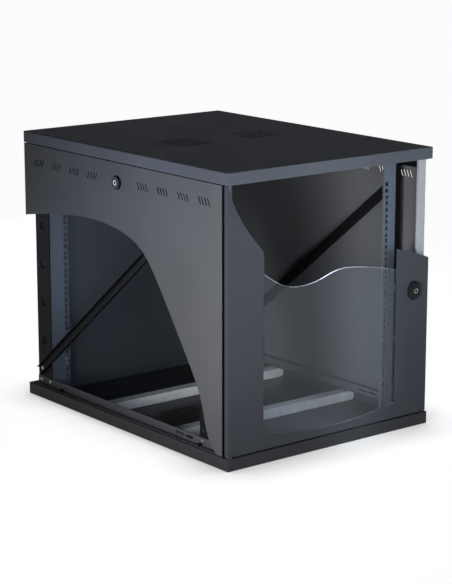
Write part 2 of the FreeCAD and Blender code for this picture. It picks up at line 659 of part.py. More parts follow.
def make_crossbar(face, name):
    """A channel across the tray, open below, with rounded lower corners at its ends."""
    side = f"{HALF} - frame_sheet - bar_end_gap"
    corners = [("0", "0"), ("frame_sheet", "0"), ("frame_sheet", "bar_height - frame_sheet"),
               ("bar_width - frame_sheet", "bar_height - frame_sheet"), ("bar_width - frame_sheet", "0"),
               ("bar_width", "0"), ("bar_width", "bar_height"), ("0", "bar_height")]
    bar = profile("crossbar", "YZ_Plane", corners, f"2 * ({side})", (f"-({side})", face, "frame_sheet"))
    floor = value("frame_sheet")
    bar = rounded(bar, "bar_corner", lambda start, end: abs(start.z - floor) < 0.01
                  and abs(end.z - floor) < 0.01 and abs(start.x - end.x) < 0.01)
    subpart(bar, f"crossbar_{name}")


def group(pieces, name):
    """Loose pieces that share one name, such as equal fasteners."""
    bunch = doc.addObject("Part::Compound", "bunch")
    bunch.Links = list(pieces)
    return subpart(bunch, name)


def ring(radius, up):
    """A small circle drawn with twelve flats, which keeps the many equal pieces light."""
    turns = [math.radians(30 * index) for index in range(12)]
    corners = [FreeCAD.Vector(radius * math.cos(turn), radius * math.sin(turn), up) for turn in turns]
    return Part.makePolygon(corners + corners[:1])


def fastener(head, length):
    """A screw with a slightly domed head under the origin and its shank along +Z."""
    radius = value(f"{head} / 2")
    shank = value("bolt_shank / 2 - plug_clearance")
    top = Part.makeLoft([ring(0.72 * radius, -value("bolt_head_height")), ring(radius, 0)], True, True)
    stem = Part.makeLoft([ring(shank, 0), ring(shank, value(length))], True, True)
    return top.fuse(stem)


def placed(shape, where, direction):
    """A copy of a shape with its +Z turned to a direction."""
    copy = shape.copy()
    copy.Placement = FreeCAD.Placement(where, FreeCAD.Rotation(FreeCAD.Vector(0, 0, 1), direction))
    return copy


def fasteners(shape, places, name):
    copies = [placed(shape, where, direction) for where, direction in places]
    subpart(made(Part.makeCompound(copies), name), name)


def make_frame_bolts():
    """Bolts through the depth rails, the posts and the braces, with their heads outside."""
    bolt = fastener("bolt_head", "frame_sheet + rail_sheet")
    inward = {side: FreeCAD.Vector(-side, 0, 0) for side in SIDES}
    heights = (f"{SHELF} + leg_low_height - bolt_from_edge",
               f"{CEILING} - leg_top_height + bolt_from_edge")
    places = [(point(f"{side} * ({LEG_OUT})", behind, height), inward[side])
              for side in SIDES for behind in rail_bolt_places() for height in heights]
    fasteners(bolt, places, "frame_bolts")
    places = [(point(f"{side} * ({LEG_OUT})", *brace_place(side, end)), inward[side])
              for side in SIDES for end in (0, 1)]
    fasteners(bolt, places, "brace_bolts")
    screw = fastener("bolt_head", "rail_sheet + skin")
    places = [(point(f"{side} * ({LEG_IN})", behind, height), inward[side])
              for side, behind, height in back_screw_places()]
    fasteners(screw, places, "back_panel_screws")


def make_rack_screws():
    """Two screws left in square holes of the left rear rail."""
    screw = fastener("rack_screw_head", "6 * rail_sheet")
    heights = ("first_hole + 2 * hole_step_long", "first_hole + unit_pitch")
    places = [(point("-(hole_columns / 2)", REAR_RAIL, height), FreeCAD.Vector(0, 1, 0))
              for height in heights]
    fasteners(screw, places, "rack_screws")


def make_earth_stud():
    """A stud on the left lower depth rail, with two nuts for the earth wire."""
    inside = f"-({LEG_IN})"
    stud = cylinder("earth_stud", (inside, EARTH_Y, "earth_height"), "earth_length", "x")
    subpart(stud, "earth_stud")
    nuts = [hex_nut("earth_nut", "earth_stud", (f"{inside} + {gap}", EARTH_Y, "earth_height"),
                    "nut_height", "x") for gap in ("0", "2 * nut_height")]
    group(nuts, "earth_nuts")


def hex_nut(flats, bore, start, height, axis):
    prism = doc.addObject("Part::Prism", "hexagon")
    prism.Polygon = 6
    prism.Placement = FreeCAD.Placement(FreeCAD.Vector(), AXIS_TURN[axis])
    prism.setExpression("Circumradius", bound(f"({flats}) / 1.7320508"))
    prism.setExpression("Height", bound(height))
    for name, formula in zip("xyz", start):
        prism.setExpression(f".Placement.Base.{name}", bound(formula))
    return cut(prism, cylinder(bore, start, height, axis))


def vent_offsets():
    """Middles of the groups, set out evenly on both sides of the lock."""
    groups = int(value("vent_groups"))
    pitch = value("(depth / 2 - vent_end - vent_first) / (vent_groups - 1)")
    return [sign * (value("vent_first") + index * pitch) for sign in (-1, 1) for index in range(groups)]


def vent_slots(side):
    """Groups of slanted slots, whose tops lean towards the lock."""
    wide = value("vent_slot_width") / 2
    tall = value("vent_slot") / 2
    start = value(f"{PANEL_OUT} - 2 * skin")
    slots = []
    for offset in vent_offsets():
        lean = -math.copysign(value("vent_lean") / 2, offset)
        for index in range(4):
            y = value("lock_behind") + offset + (index - 1.5) * value("vent_pitch")
            z = value("height - vent_drop")
            corners = [FreeCAD.Vector(side * start, y + sign * wide + up * lean, z + up * tall)
                       for sign, up in ((-1, -1), (1, -1), (1, 1), (-1, 1))]
            face = Part.Face(Part.makePolygon(corners + corners[:1]))
            slots.append(face.extrude(FreeCAD.Vector(side * value("4 * skin"), 0, 0)))
    return made(Part.makeCompound(slots), "vent_slots")


def make_side_panel(side):
    """A pan with folded edges, hooked on two pins below and locked at the top."""
    outer = side_box(side, PANEL_IN, PANEL_OUT, PANEL_FRONT, BACK, PANEL_LOW, PANEL_TOP)
    hollow = side_box(side, f"{PANEL_IN} - skin", f"{PANEL_OUT} - skin", f"{PANEL_FRONT} + skin",
                      f"{BACK} - skin", f"{PANEL_LOW} + skin", f"{PANEL_TOP} - skin")
    lock_hole = across_hole(side, "lock_behind", SIDE_LOCK_Z, "lock_shank",
                            f"{PANEL_OUT} - 2 * skin", f"{PANEL_OUT} + skin")
    pins = [cylinder("locator_hole", (f"{side} * ({HALF} - locator_side)", behind, PANEL_LOW), "skin", "z")
            for behind in locator_places()]
    tools = [hollow, lock_hole, vent_slots(side)] + pins
    if side < 0:
        beyond = value(f"{PANEL_OUT} + skin")
        curve = [(value(f"{FRONT} + {behind} * depth"), value(f"{up} * height"))
                 for behind, up in ARCH_CURVE]
        closing = [(curve[-1][0], 0), (curve[0][0], 0)]
        thickness = beyond - value(f"{PANEL_IN} - skin")
        tools.append(made(smooth_prism(curve, closing, "x", -beyond, thickness), "arch"))
    subpart(cut(outer, *tools), f"side_panel_{SIDES[side]}")


def locator_places():
    return [f"{sign} * (depth / 2 - locator_end) - locator_shift" for sign in (-1, 1)]


def make_locating_pins():
    """Pins on the lower depth rails' feet, over which the side panels are set."""
    pins = []
    for side in SIDES:
        for behind in locator_places():
            start = (f"{side} * ({HALF} - locator_side)", behind, f"{SHELF} + frame_sheet")
            pins.append(cylinder("locator_pin", start, "locator_height", "z"))
    group(pins, "panel_locating_pins")


def make_side_lock(side):
    """A quarter-turn lock in a side panel: housing, nut, plug, cam and the cam's screw."""
    where = ("lock_behind", SIDE_LOCK_Z)
    name = SIDES[side]

    def piece(diameter, near, far):
        return across_hole(side, *where, diameter, near, far)

    cam_far = f"{LEG_IN} - cam_gap"
    ring = piece("side_ring", PANEL_OUT, f"{PANEL_OUT} + side_ring_height")
    face = value(f"{side} * ({PANEL_OUT} + side_ring_height)")
    ring = bevelled(ring, "side_ring_height / 2",
                    lambda start, end: abs(start.x - face) < 0.01 and abs(end.x - face) < 0.01)
    shank = piece("lock_shank", PANEL_IN, PANEL_OUT)
    bore = piece("lock_plug + 2 * plug_clearance", f"{PANEL_IN} - skin",
                 f"{PANEL_OUT} + 2 * side_ring_height")
    subpart(cut(fuse(ring, shank), bore), f"side_lock_housing_{name}")

    near = f"{PANEL_OUT} - skin - nut_height"
    low_x, high_x = sided(side, near, f"{PANEL_OUT} - skin")
    nut = hex_nut("nut_size", "lock_shank", (low_x, *where), "nut_height", "x")
    subpart(nut, f"side_lock_nut_{name}")

    plug = piece("lock_plug", cam_far, f"{PANEL_OUT} + side_ring_height + plug_proud")
    recess = side_box(side, f"{PANEL_OUT} + side_ring_height - 2 * plug_proud",
                      f"{PANEL_OUT} + side_ring_height + 2 * plug_proud",
                      "lock_behind - lock_plug / 5", "lock_behind + lock_plug / 5",
                      f"{SIDE_LOCK_Z} - lock_plug / 5", f"{SIDE_LOCK_Z} + lock_plug / 5")
    subpart(cut(plug, recess), f"side_lock_plug_{name}")

    blade = side_box(side, f"{cam_far} - cam_thick", cam_far, "lock_behind - cam_width / 2",
                     "lock_behind + side_cam_reach", f"{SIDE_LOCK_Z} - cam_width / 2",
                     f"{SIDE_LOCK_Z} + cam_width / 2")
    screw_hole = piece("bolt_shank", f"{cam_far} - 2 * cam_thick", cam_far)
    subpart(cut(blade, screw_hole), f"side_lock_cam_{name}")

    head = piece("cam_screw", f"{cam_far} - 2 * cam_thick", f"{cam_far} - cam_thick")
    stem = piece("bolt_shank", f"{cam_far} - cam_thick", cam_far)
    subpart(fuse(head, stem), f"side_lock_screw_{name}")


def make_door_frame():
    """A folded sheet with a window, cut away above in two smooth curves."""
    side = DOOR_SIDE
    outer = box((f"-({side})", DOOR_FACE, DOOR_LOW), (side, DOOR_BACK, DOOR_TOP))
    hollow = box((f"-({side} - skin)", f"{DOOR_FACE} + skin", f"{DOOR_LOW} + skin"),
                 (f"{side} - skin", f"{DOOR_BACK} - skin", f"{DOOR_TOP} - skin"))
    lip_side = f"{side} - skin - door_lip"
    mouth = box((f"-({lip_side})", f"{DOOR_BACK} - 2 * skin", f"{DOOR_LOW} + skin + door_lip"),
                (lip_side, f"{DOOR_BACK} + skin", f"{DOOR_TOP} - skin - door_lip"))
    ahead = value(f"{DOOR_FACE} - skin")
    through = value("door_thick + 2 * skin")
    left, right = -value(WINDOW_LEFT), value(WINDOW_RIGHT)
    low, dip = value("window_low"), value("window_dip")
    over = value("height")
    arc = Part.Arc(FreeCAD.Vector(left, ahead, low), FreeCAD.Vector((left + right) / 2, ahead, low - dip),
                   FreeCAD.Vector(right, ahead, low)).toShape()
    rest = Part.makePolygon([FreeCAD.Vector(right, ahead, low), FreeCAD.Vector(right, ahead, over),
                             FreeCAD.Vector(left, ahead, over), FreeCAD.Vector(left, ahead, low)])
    pane = Part.Face(Part.Wire([arc] + rest.Edges))
    window = made(pane.extrude(FreeCAD.Vector(0, through, 0)), "window")
    stile_cuts = []
    stiles = ((-1, WINDOW_LEFT, HINGE_STILE_CURVE), (1, WINDOW_RIGHT, LOCK_STILE_CURVE))
    for sign, window_edge, curve in stiles:
        edge = value(side)
        stile = edge - value(window_edge)
        places = [(sign * (edge - share * stile), over - drop) for share, drop in curve]
        closing = [(places[-1][0], over), (places[0][0], over)]
        stile_cuts.append(made(smooth_prism(places, closing, "y", ahead, through), "stile_cut"))
    lock_hole = cylinder("lock_shank", (LOCK_X, f"{DOOR_FACE} - skin", LOCK_Z), "3 * skin", "y")
    bush_hole = cylinder("hinge_bush", (HINGE_X, HINGE_Y, DOOR_LOW), "skin", "z")
    sheet_metal = cut(outer, hollow, mouth, window, *stile_cuts, lock_hole, bush_hole)
    subpart(fuse(sheet_metal, *clip_studs()), "door_frame")


def glass_outline(inset, front, thick):
    """The glass's outline, drawn in from its edge, as a plate with a wavy top."""
    left = -value(f"{WINDOW_LEFT} + glass_lap") + inset
    right = value(f"{WINDOW_RIGHT} + glass_lap") - inset
    low = value("window_low - window_dip - glass_lap") + inset
    top = value("height")
    curve = [(left + share * (right - left), top - drop) for share, drop in GLASS_CURVE]
    return smooth_prism(curve, [(right, low), (left, low)], "y", front, thick)


def make_glass():
    tape_front = value(f"{DOOR_FACE} + skin")
    front = value(f"{DOOR_FACE} + skin + tape_thick")
    subpart(made(glass_outline(0, front, value("glass_thick")), "door_glass"), "door_glass")


def make_tape():
    """Foam tape that bonds the glass to the sheet at the sides and below."""
    front, back = f"{DOOR_FACE} + skin", f"{DOOR_FACE} + skin + tape_thick"
    low = "window_low - window_dip - glass_lap + tape_margin"
    left = f"-({WINDOW_LEFT} + glass_lap) + tape_margin"
    right = f"{WINDOW_RIGHT} + glass_lap - tape_margin"
    subpart(fuse(box((left, front, low), (f"{left} + tape_width", back, "height - tape_left_drop")),
                 box((f"{right} - tape_width", front, low), (right, back, "height - tape_right_drop")),
                 box((left, front, low), (right, back, f"{low} + tape_width"))), "glass_tape")


def clip_places():
    """Each stud that holds a glass clip: side, distance to the middle, height."""
    columns = ((-1, WINDOW_LEFT, "clip_left_drop"), (1, WINDOW_RIGHT, "clip_right_drop"))
    return [(side, edge, f"clip_low + {share} * (height - {drop} - clip_low)")
            for side, edge, drop in columns for share in (0, 0.5, 1)]


def make_glass_clips():
    """Z-shaped clips that press the glass against the tape, each held by a nut."""
    sheet_back = f"{DOOR_FACE} + skin"
    glass_back = f"{DOOR_FACE} + skin + tape_thick + glass_thick"
    clips, nuts = [], []
    for side, edge, height in clip_places():
        low, high = f"{height} - clip_width / 2", f"{height} + clip_width / 2"
        rim = f"{edge} + glass_lap + fit_gap"
        foot = side_box(side, rim, f"{rim} + clip_foot",
                        sheet_back, f"{sheet_back} + clip_sheet", low, high)
        riser = side_box(side, rim, f"{rim} + clip_sheet",
                         sheet_back, f"{glass_back} + clip_sheet", low, high)
        arm = side_box(side, f"{rim} - clip_foot", f"{rim} + clip_sheet", glass_back,
                       f"{glass_back} + clip_sheet", low, high)
        stud = (f"{side} * ({rim} + clip_foot - clip_stud_edge)", f"{sheet_back} + clip_sheet", height)
        hole = cylinder("clip_stud", (stud[0], sheet_back, height), "clip_sheet", "y")
        clips.append(cut(fuse(foot, riser, arm), hole))
        nuts.append(hex_nut("clip_nut", "clip_stud", stud, "clip_nut_height", "y"))
    group(clips, "glass_clips")
    group(nuts, "glass_clip_nuts")


def clip_studs():
    beyond = "glass_lap + fit_gap + clip_foot - clip_stud_edge"
    return [cylinder("clip_stud", (f"{side} * ({edge} + {beyond})", f"{DOOR_FACE} + skin", height),
                     "clip_stud_length", "y") for side, edge, height in clip_places()]


def make_door_lock():
    """An oval turning lock: housing, nut, plug, cam and the cam's screw."""
    where = (LOCK_X, LOCK_Z)

    def piece(diameter, near, far):
        return cylinder(diameter, (where[0], near, where[1]), f"({far}) - ({near})", "y")

    centre = point(LOCK_X, DOOR_FACE, LOCK_Z)
    rings = []
    for inset, height in (("0", "0"), ("0", "door_lock_proud - door_lock_round"),
                          ("door_lock_round", "door_lock_proud")):
        middle = FreeCAD.Vector(0, 0, value(height))
        oval = Part.Ellipse(middle, value(f"door_lock_tall / 2 - {inset}"),
                            value(f"door_lock_wide / 2 - {inset}"))
        rings.append(Part.Wire([oval.toShape()]))
    dome = Part.makeLoft(rings, True, True)
    upright = FreeCAD.Rotation(FreeCAD.Vector(0, 0, 1), FreeCAD.Vector(1, 0, 0),
                               FreeCAD.Vector(0, -1, 0), "ZXY")
    dome.Placement = FreeCAD.Placement(centre, upright)
    shank = piece("lock_shank", DOOR_FACE, f"{DOOR_BACK} + plug_proud")
    bore = piece("lock_plug + 2 * plug_clearance", f"{DOOR_FACE} - 2 * door_lock_proud",
                 f"{DOOR_BACK} + door_thick")
    subpart(cut(fuse(made(dome, "dome"), shank), bore), "door_lock_housing")

    nut_start = (where[0], f"{DOOR_FACE} + skin", where[1])
    subpart(hex_nut("nut_size", "lock_shank", nut_start, "nut_height", "y"), "door_lock_nut")

    face = f"{DOOR_FACE} - door_lock_proud - plug_proud"
    cam_near = f"{POST_FACE} + frame_sheet + cam_gap"
    keyway = box((f"{LOCK_X} - key_slot / 2", f"{face} - plug_proud", f"{LOCK_Z} - lock_plug / 3"),
                 (f"{LOCK_X} + key_slot / 2", f"{face} + nut_height", f"{LOCK_Z} + lock_plug / 3"))
    subpart(cut(piece("lock_plug", face, cam_near), keyway), "door_lock_plug")

    blade = box((f"{LOCK_X} - cam_width / 2", cam_near, f"{LOCK_Z} - door_cam_reach"),
                (f"{LOCK_X} + cam_width / 2", f"{cam_near} + cam_thick", f"{LOCK_Z} + cam_width / 2"))
    hole = piece("bolt_shank", cam_near, f"{cam_near} + cam_thick")
    subpart(cut(blade, hole), "door_lock_cam")
    subpart(fuse(piece("bolt_shank", cam_near, f"{cam_near} + cam_thick"),
                 piece("cam_screw", f"{cam_near} + cam_thick", f"{cam_near} + 2 * cam_thick")),
            "door_lock_screw")


def on_hinge(diameter, low, high):
    return cylinder(diameter, (HINGE_X, HINGE_Y, low), f"({high}) - ({low})", "z")


def spring(length, radius, half, turns):
    """A coil of square wire, in short straight runs from a flat lower to a flat upper end."""
    runs = 12 * turns
    sections = []
    for index in range(runs + 1):
        angle = 2 * math.pi * turns * index / runs
        middle = half + (length - 2 * half) * index / runs
        sections.append([FreeCAD.Vector((radius + out * half) * math.cos(angle),
                                        (radius + out * half) * math.sin(angle), middle + up * half)
                         for out, up in ((-1, -1), (1, -1), (1, 1), (-1, 1))])
    faces = [Part.Face(Part.makePolygon(end + end[:1])) for end in (sections[0], sections[-1])]
    for here, there in zip(sections, sections[1:]):
        for edge in range(4):
            first, second = here[edge], here[(edge + 1) % 4]
            third, fourth = there[(edge + 1) % 4], there[edge]
            faces.append(Part.Face(Part.makePolygon([first, second, third, first])))
            faces.append(Part.Face(Part.makePolygon([first, third, fourth, first])))
    return Part.Solid(Part.Shell(faces))


def make_hinges():
    """A fixed pin below, and above a sprung pin that is drawn down to free the door."""
    collar_top = f"{DOOR_LOW} - bush_flange - fit_gap"
    subpart(fuse(on_hinge("hinge_pin", SHELF, f"{DOOR_LOW} + bush_length"),
                 on_hinge("pin_collar", SHELF, collar_top)), "hinge_pin_lower")
    bush = fuse(on_hinge("hinge_bush", DOOR_LOW, f"{DOOR_LOW} + bush_length"),
                on_hinge("pin_collar", f"{DOOR_LOW} - bush_flange", DOOR_LOW))
    bore = on_hinge("hinge_pin + 2 * plug_clearance", SHELF, f"{DOOR_LOW} + 2 * bush_length")
    subpart(cut(bush, bore), "hinge_bush")

    edge = f"-({DOOR_SIDE} - skin)"
    inner = f"{edge} + lug_reach"
    front, back = f"{DOOR_FACE} + skin", f"{DOOR_BACK} - skin"
    low, high = LUG_LOW, f"{LUG_LOW} + lug_spread"
    bracket = fuse(box((edge, front, low), (f"{edge} + frame_sheet", back, f"{high} + lug_thick")),
                   box((edge, front, low), (inner, back, f"{low} + lug_thick")),
                   box((edge, front, high), (inner, back, f"{high} + lug_thick")))
    bores = on_hinge("hinge_pin + 2 * plug_clearance", f"{low} - lug_thick", f"{high} + 2 * lug_thick")
    subpart(cut(bracket, bores), "hinge_bracket_upper")

    collar = f"{high} - fit_gap - collar_thick"
    subpart(fuse(on_hinge("hinge_pin", f"{low} - pull_length", f"{CEILING} + upper_pin_entry"),
                 on_hinge("spring_collar", collar, f"{collar} + collar_thick"),
                 on_hinge("spring_collar", f"{low} - pull_length", f"{low} - pull_length + collar_thick")),
            "hinge_pin_upper")

    coil = spring(value(f"{collar} - ({low} + lug_thick)"), value("spring_coil / 2"),
                  value("spring_wire / 2"), int(value("spring_turns")))
    coil.Placement = FreeCAD.Placement(point(HINGE_X, HINGE_Y, f"{low} + lug_thick"), FreeCAD.Rotation())
    subpart(made(coil, "spring"), "hinge_spring")


for build in (make_cover, make_tray, make_back_panel, make_wall_rails, make_access_plugs):
    build()
for side in SIDES:
    make_door_post(side)
    make_side_panel(side)
    make_side_lock(side)
    make_brace(side)
    for other in (False, True):
        make_depth_rail(side, other)
        make_rack_rail(side, other)
        make_post(side, other)
make_crossbar("-bar_front", "front")
make_crossbar("bar_rear", "rear")
make_frame_bolts()
make_rack_screws()
make_earth_stud()
make_locating_pins()
make_door_frame()
make_glass()
make_tape()
make_glass_clips()
make_door_lock()
make_hinges()

doc.recompute()
for thing in doc.Objects:
    if "Invalid" in thing.State or "Error" in thing.State:
        raise RuntimeError(f"{thing.Name} ({thing.Label}) failed: {thing.State}")
for thing in subparts:
    if thing.Shape.isNull() or not thing.Shape.isValid() or not thing.Shape.Solids:
        raise RuntimeError(f"{thing.Label} has no sound shape")

os.makedirs("parts", exist_ok=True)
for thing in subparts:
    thing.Shape.exportStep(f"parts/{thing.Label}.step")
print(len(subparts), "sub-parts,", sum(len(thing.Shape.Solids) for thing in subparts), "solids")
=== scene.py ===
# %% [markdown]
# # A wall cabinet for network equipment, cut open for display
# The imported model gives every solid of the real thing: the cover, the tray, the folded
# side panels, the glazed door with its lock, the rack rails and all their fasteners.
# Blender adds what a drawing does not have: powder coat, plated metal, glass and light.
# It could be modelled again from nothing, but then it would no longer fit the frame
# that moves, so every solid of the right shape stays and only gets a finish.

# %% Load the frame
import math
import bmesh
import bpy
from mathutils import Matrix, Vector


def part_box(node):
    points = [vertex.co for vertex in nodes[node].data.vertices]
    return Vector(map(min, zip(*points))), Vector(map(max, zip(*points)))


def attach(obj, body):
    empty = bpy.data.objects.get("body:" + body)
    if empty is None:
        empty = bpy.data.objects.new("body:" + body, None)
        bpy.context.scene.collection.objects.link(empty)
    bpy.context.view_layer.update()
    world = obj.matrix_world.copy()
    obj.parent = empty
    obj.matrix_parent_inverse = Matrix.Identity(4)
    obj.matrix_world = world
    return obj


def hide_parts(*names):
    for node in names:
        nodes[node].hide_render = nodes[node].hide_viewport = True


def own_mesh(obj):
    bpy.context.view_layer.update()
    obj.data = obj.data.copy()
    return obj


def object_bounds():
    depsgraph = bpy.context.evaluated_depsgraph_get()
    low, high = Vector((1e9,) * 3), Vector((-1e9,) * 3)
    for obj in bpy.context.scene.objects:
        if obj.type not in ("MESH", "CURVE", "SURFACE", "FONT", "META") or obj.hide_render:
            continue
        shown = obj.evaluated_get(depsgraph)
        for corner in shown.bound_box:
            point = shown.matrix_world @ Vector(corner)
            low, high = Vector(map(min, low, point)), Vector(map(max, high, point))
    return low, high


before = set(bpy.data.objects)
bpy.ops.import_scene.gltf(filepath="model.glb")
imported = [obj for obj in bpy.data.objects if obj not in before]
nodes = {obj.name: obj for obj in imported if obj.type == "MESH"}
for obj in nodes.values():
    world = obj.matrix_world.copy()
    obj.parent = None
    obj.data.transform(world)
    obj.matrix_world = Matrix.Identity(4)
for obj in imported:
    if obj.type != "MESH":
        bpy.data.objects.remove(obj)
cad_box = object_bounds()
print("overall box", [[round(value, 4) for value in corner] for corner in cad_box])

# %% [markdown]
# ## The camera comes first
# The picture is an upright 452 by 584 frame, taken from the front left corner and a little
# above. The lens is long, so the box looks almost like a parallel drawing. The place and the
# angles come from the eight outer corners of the cabinet. A shifted lens would keep the
# uprights exactly parallel, but it would also shift every other view, so there is none.

# %% Camera
CAMERA_PLACE = Vector((-2.7402, -3.4878, 1.3195))
CAMERA_TURN = math.radians(38.261)
CAMERA_DROP = math.radians(13.089)
FOCAL_PIXELS = 1895.8
PICTURE_TALL = 584
SENSOR_TALL = 36
camera_data = bpy.data.cameras.new("camera")
camera = bpy.data.objects.new("camera", camera_data)
bpy.context.scene.collection.objects.link(camera)
camera_data.lens = FOCAL_PIXELS / PICTURE_TALL * SENSOR_TALL
camera_data.sensor_fit = "VERTICAL"
camera_data.sensor_height = SENSOR_TALL
camera_data.clip_end = 60
camera.location = CAMERA_PLACE
camera.rotation_euler = (math.radians(90) - CAMERA_DROP, 0, -CAMERA_TURN)
bpy.context.scene.camera = camera
bpy.context.scene.view_settings.view_transform = "Standard"
print("lens", round(camera_data.lens, 1), "mm")

# %% [markdown]
# ## Floor, backdrop and light
# The product stands on white. A white floor lit to pure white would throw a lot of light up
# into the dark metal, so the floor is a plain pale grey for every ray that lights something,
# and only the camera, mirrors and glass see it as white. The shadow they see is painted: an
# occlusion test dims the white glow near the cabinet, and under the tray the glow is left out.
# Nodes are linked by short helpers here, because every finish further down needs them too.

# %% Helpers for nodes
def link_chain(tree, *stages):
    """Links output to input for each pair of sockets."""
    for start, end in stages:
        tree.links.new(start, end)


def add_node(tree, kind, **settings):
    """A node of this kind with its settings made."""
    node = tree.nodes.new(kind)
    for name, setting in settings.items():
        setattr(node, name, setting)
    return node


def is_seen(tree):
    """1 for camera, mirror and glass rays, 0 for the rays that light the object."""
    path = add_node(tree, "ShaderNodeLightPath")
    first = add_node(tree, "ShaderNodeMath", operation="MAXIMUM")
    both = add_node(tree, "ShaderNodeMath", operation="MAXIMUM")
    link_chain(tree, (path.outputs["Is Camera Ray"], first.inputs[0]),
               (path.outputs["Is Glossy Ray"], first.inputs[1]), (first.outputs[0], both.inputs[0]),
               (path.outputs["Is Transmission Ray"], both.inputs[1]))
    return both.outputs[0]


def new_material(name):
    """An empty material, its tree and its output."""
    material = bpy.data.materials.new(name)
    material.use_nodes = True
    material.node_tree.nodes.clear()
    output = material.node_tree.nodes.new("ShaderNodeOutputMaterial")
    return material, material.node_tree, output


# %% Floor
FLOOR_GLOW = 0.97
FLOOR_PAINT = (0.2, 0.2, 0.2, 1)
MIRRORED_LOSS = -0.55
RIM_WALL = 0.006
SHADOW_REACH = 0.14


def clear_of_tray(tree):
    """1 on the floor round the cabinet and 0 under it: painted shade where no light gets in."""
    place = add_node(tree, "ShaderNodeTexCoord").outputs["Object"]
    split = add_node(tree, "ShaderNodeSeparateXYZ")
    tree.links.new(place, split.inputs[0])
    beyond = []
    for axis, reach in (("X", cad_box[1][0]), ("Y", cad_box[1][1])):
        across = add_node(tree, "ShaderNodeMath", operation="ABSOLUTE")
        outside = add_node(tree, "ShaderNodeMath", operation="GREATER_THAN")
        outside.inputs[1].default_value = reach - RIM_WALL
        link_chain(tree, (split.outputs[axis], across.inputs[0]),
                   (across.outputs[0], outside.inputs[0]))
        beyond.append(outside.outputs[0])
    either = add_node(tree, "ShaderNodeMath", operation="MAXIMUM")
    link_chain(tree, (beyond[0], either.inputs[0]), (beyond[1], either.inputs[1]))
    return either.outputs[0]


def make_floor():
    """A wide floor: pale grey paint for light, white for the eye with a soft painted shadow."""
    form = bmesh.new()
    bmesh.ops.create_grid(form, x_segments=24, y_segments=24, size=30)
    shape = bpy.data.meshes.new("floor")
    form.to_mesh(shape)
    form.free()
    floor = bpy.data.objects.new("floor", shape)
    bpy.context.scene.collection.objects.link(floor)
    material, tree, output = new_material("pale_floor")
    paint = add_node(tree, "ShaderNodeBsdfDiffuse")
    paint.inputs["Color"].default_value = FLOOR_PAINT
    glow = add_node(tree, "ShaderNodeEmission")
    strength = add_node(tree, "ShaderNodeMath", operation="MULTIPLY")
    dimmed = add_node(tree, "ShaderNodeMath", operation="MULTIPLY_ADD")
    dimmed.inputs[1].default_value = MIRRORED_LOSS * FLOOR_GLOW
    dimmed.inputs[2].default_value = FLOOR_GLOW
    path = add_node(tree, "ShaderNodeLightPath")
    # Painted contact shadow: occlusion darkens the floor's white glow near the cabinet.
    painted_contact_shadow = add_node(tree, "ShaderNodeAmbientOcclusion", samples=12)
    painted_contact_shadow.inputs["Distance"].default_value = SHADOW_REACH
    both = add_node(tree, "ShaderNodeAddShader")
    pick = add_node(tree, "ShaderNodeMixShader")
    link_chain(tree, (painted_contact_shadow.outputs["Color"], glow.inputs["Color"]),
               (path.outputs["Is Glossy Ray"], dimmed.inputs[0]),
               (dimmed.outputs[0], strength.inputs[1]), (clear_of_tray(tree), strength.inputs[0]),
               (strength.outputs[0], glow.inputs["Strength"]),
               (paint.outputs[0], both.inputs[0]), (glow.outputs[0], both.inputs[1]),
               (is_seen(tree), pick.inputs[0]), (paint.outputs[0], pick.inputs[1]),
               (both.outputs[0], pick.inputs[2]), (pick.outputs[0], output.inputs["Surface"]))
    shape.materials.append(material)
    return floor


floor = make_floor()
print("floor at", floor.location.z)

# %% [markdown]
# The level faces of the cabinet mirror what is high up, and in the picture they are nearly
# black. So the studio round the object is white at the horizon and dark overhead, like a
# room with the ceiling lamps off.

# %% World
HORIZON = -0.03
DARK_ABOVE = 0.18
CEILING_TONE = (0.012, 0.016, 0.024, 1)
WORLD_FILL = 0.15


def make_world():
    """White at the horizon and dark above, and weaker as a light than as a view."""
    world = bpy.data.worlds.new("studio")
    bpy.context.scene.world = world
    world.use_nodes = True
    tree = world.node_tree
    tree.nodes.clear()
    output = add_node(tree, "ShaderNodeOutputWorld")
    way = add_node(tree, "ShaderNodeTexCoord")
    parts = add_node(tree, "ShaderNodeSeparateXYZ")
    climb = add_node(tree, "ShaderNodeMapRange", interpolation_type="SMOOTHSTEP")
    climb.inputs["From Min"].default_value = HORIZON
    climb.inputs["From Max"].default_value = DARK_ABOVE
    shade = add_node(tree, "ShaderNodeMix", data_type="RGBA")
    shade.inputs[6].default_value = (1, 1, 1, 1)
    shade.inputs[7].default_value = CEILING_TONE
    seen = add_node(tree, "ShaderNodeBackground")
    fill = add_node(tree, "ShaderNodeBackground")
    fill.inputs["Strength"].default_value = WORLD_FILL
    pick = add_node(tree, "ShaderNodeMixShader")
    link_chain(tree, (way.outputs["Generated"], parts.inputs[0]),
               (parts.outputs["Z"], climb.inputs["Value"]),
               (climb.outputs[0], shade.inputs[0]), (shade.outputs[2], seen.inputs["Color"]),
               (shade.outputs[2], fill.inputs["Color"]), (is_seen(tree), pick.inputs[0]),
               (fill.outputs[0], pick.inputs[1]), (seen.outputs[0], pick.inputs[2]),
               (pick.outputs[0], output.inputs["Surface"]))


make_world()
print("world white below", HORIZON, "and dark above", DARK_ABOVE)

# %% [markdown]
# In the picture the level faces are almost black while the upright ones are grey, so the
# light comes from soft windows at the front and the left, and hardly from above. Narrow ones
# reach inside: through the open front to the right wall, through the arch to the back, and
# down through the glass to the tray. Two wide ones keep the back and the right side readable
# from other views. The last one is seen only as a faint blue gloss round the side lock.

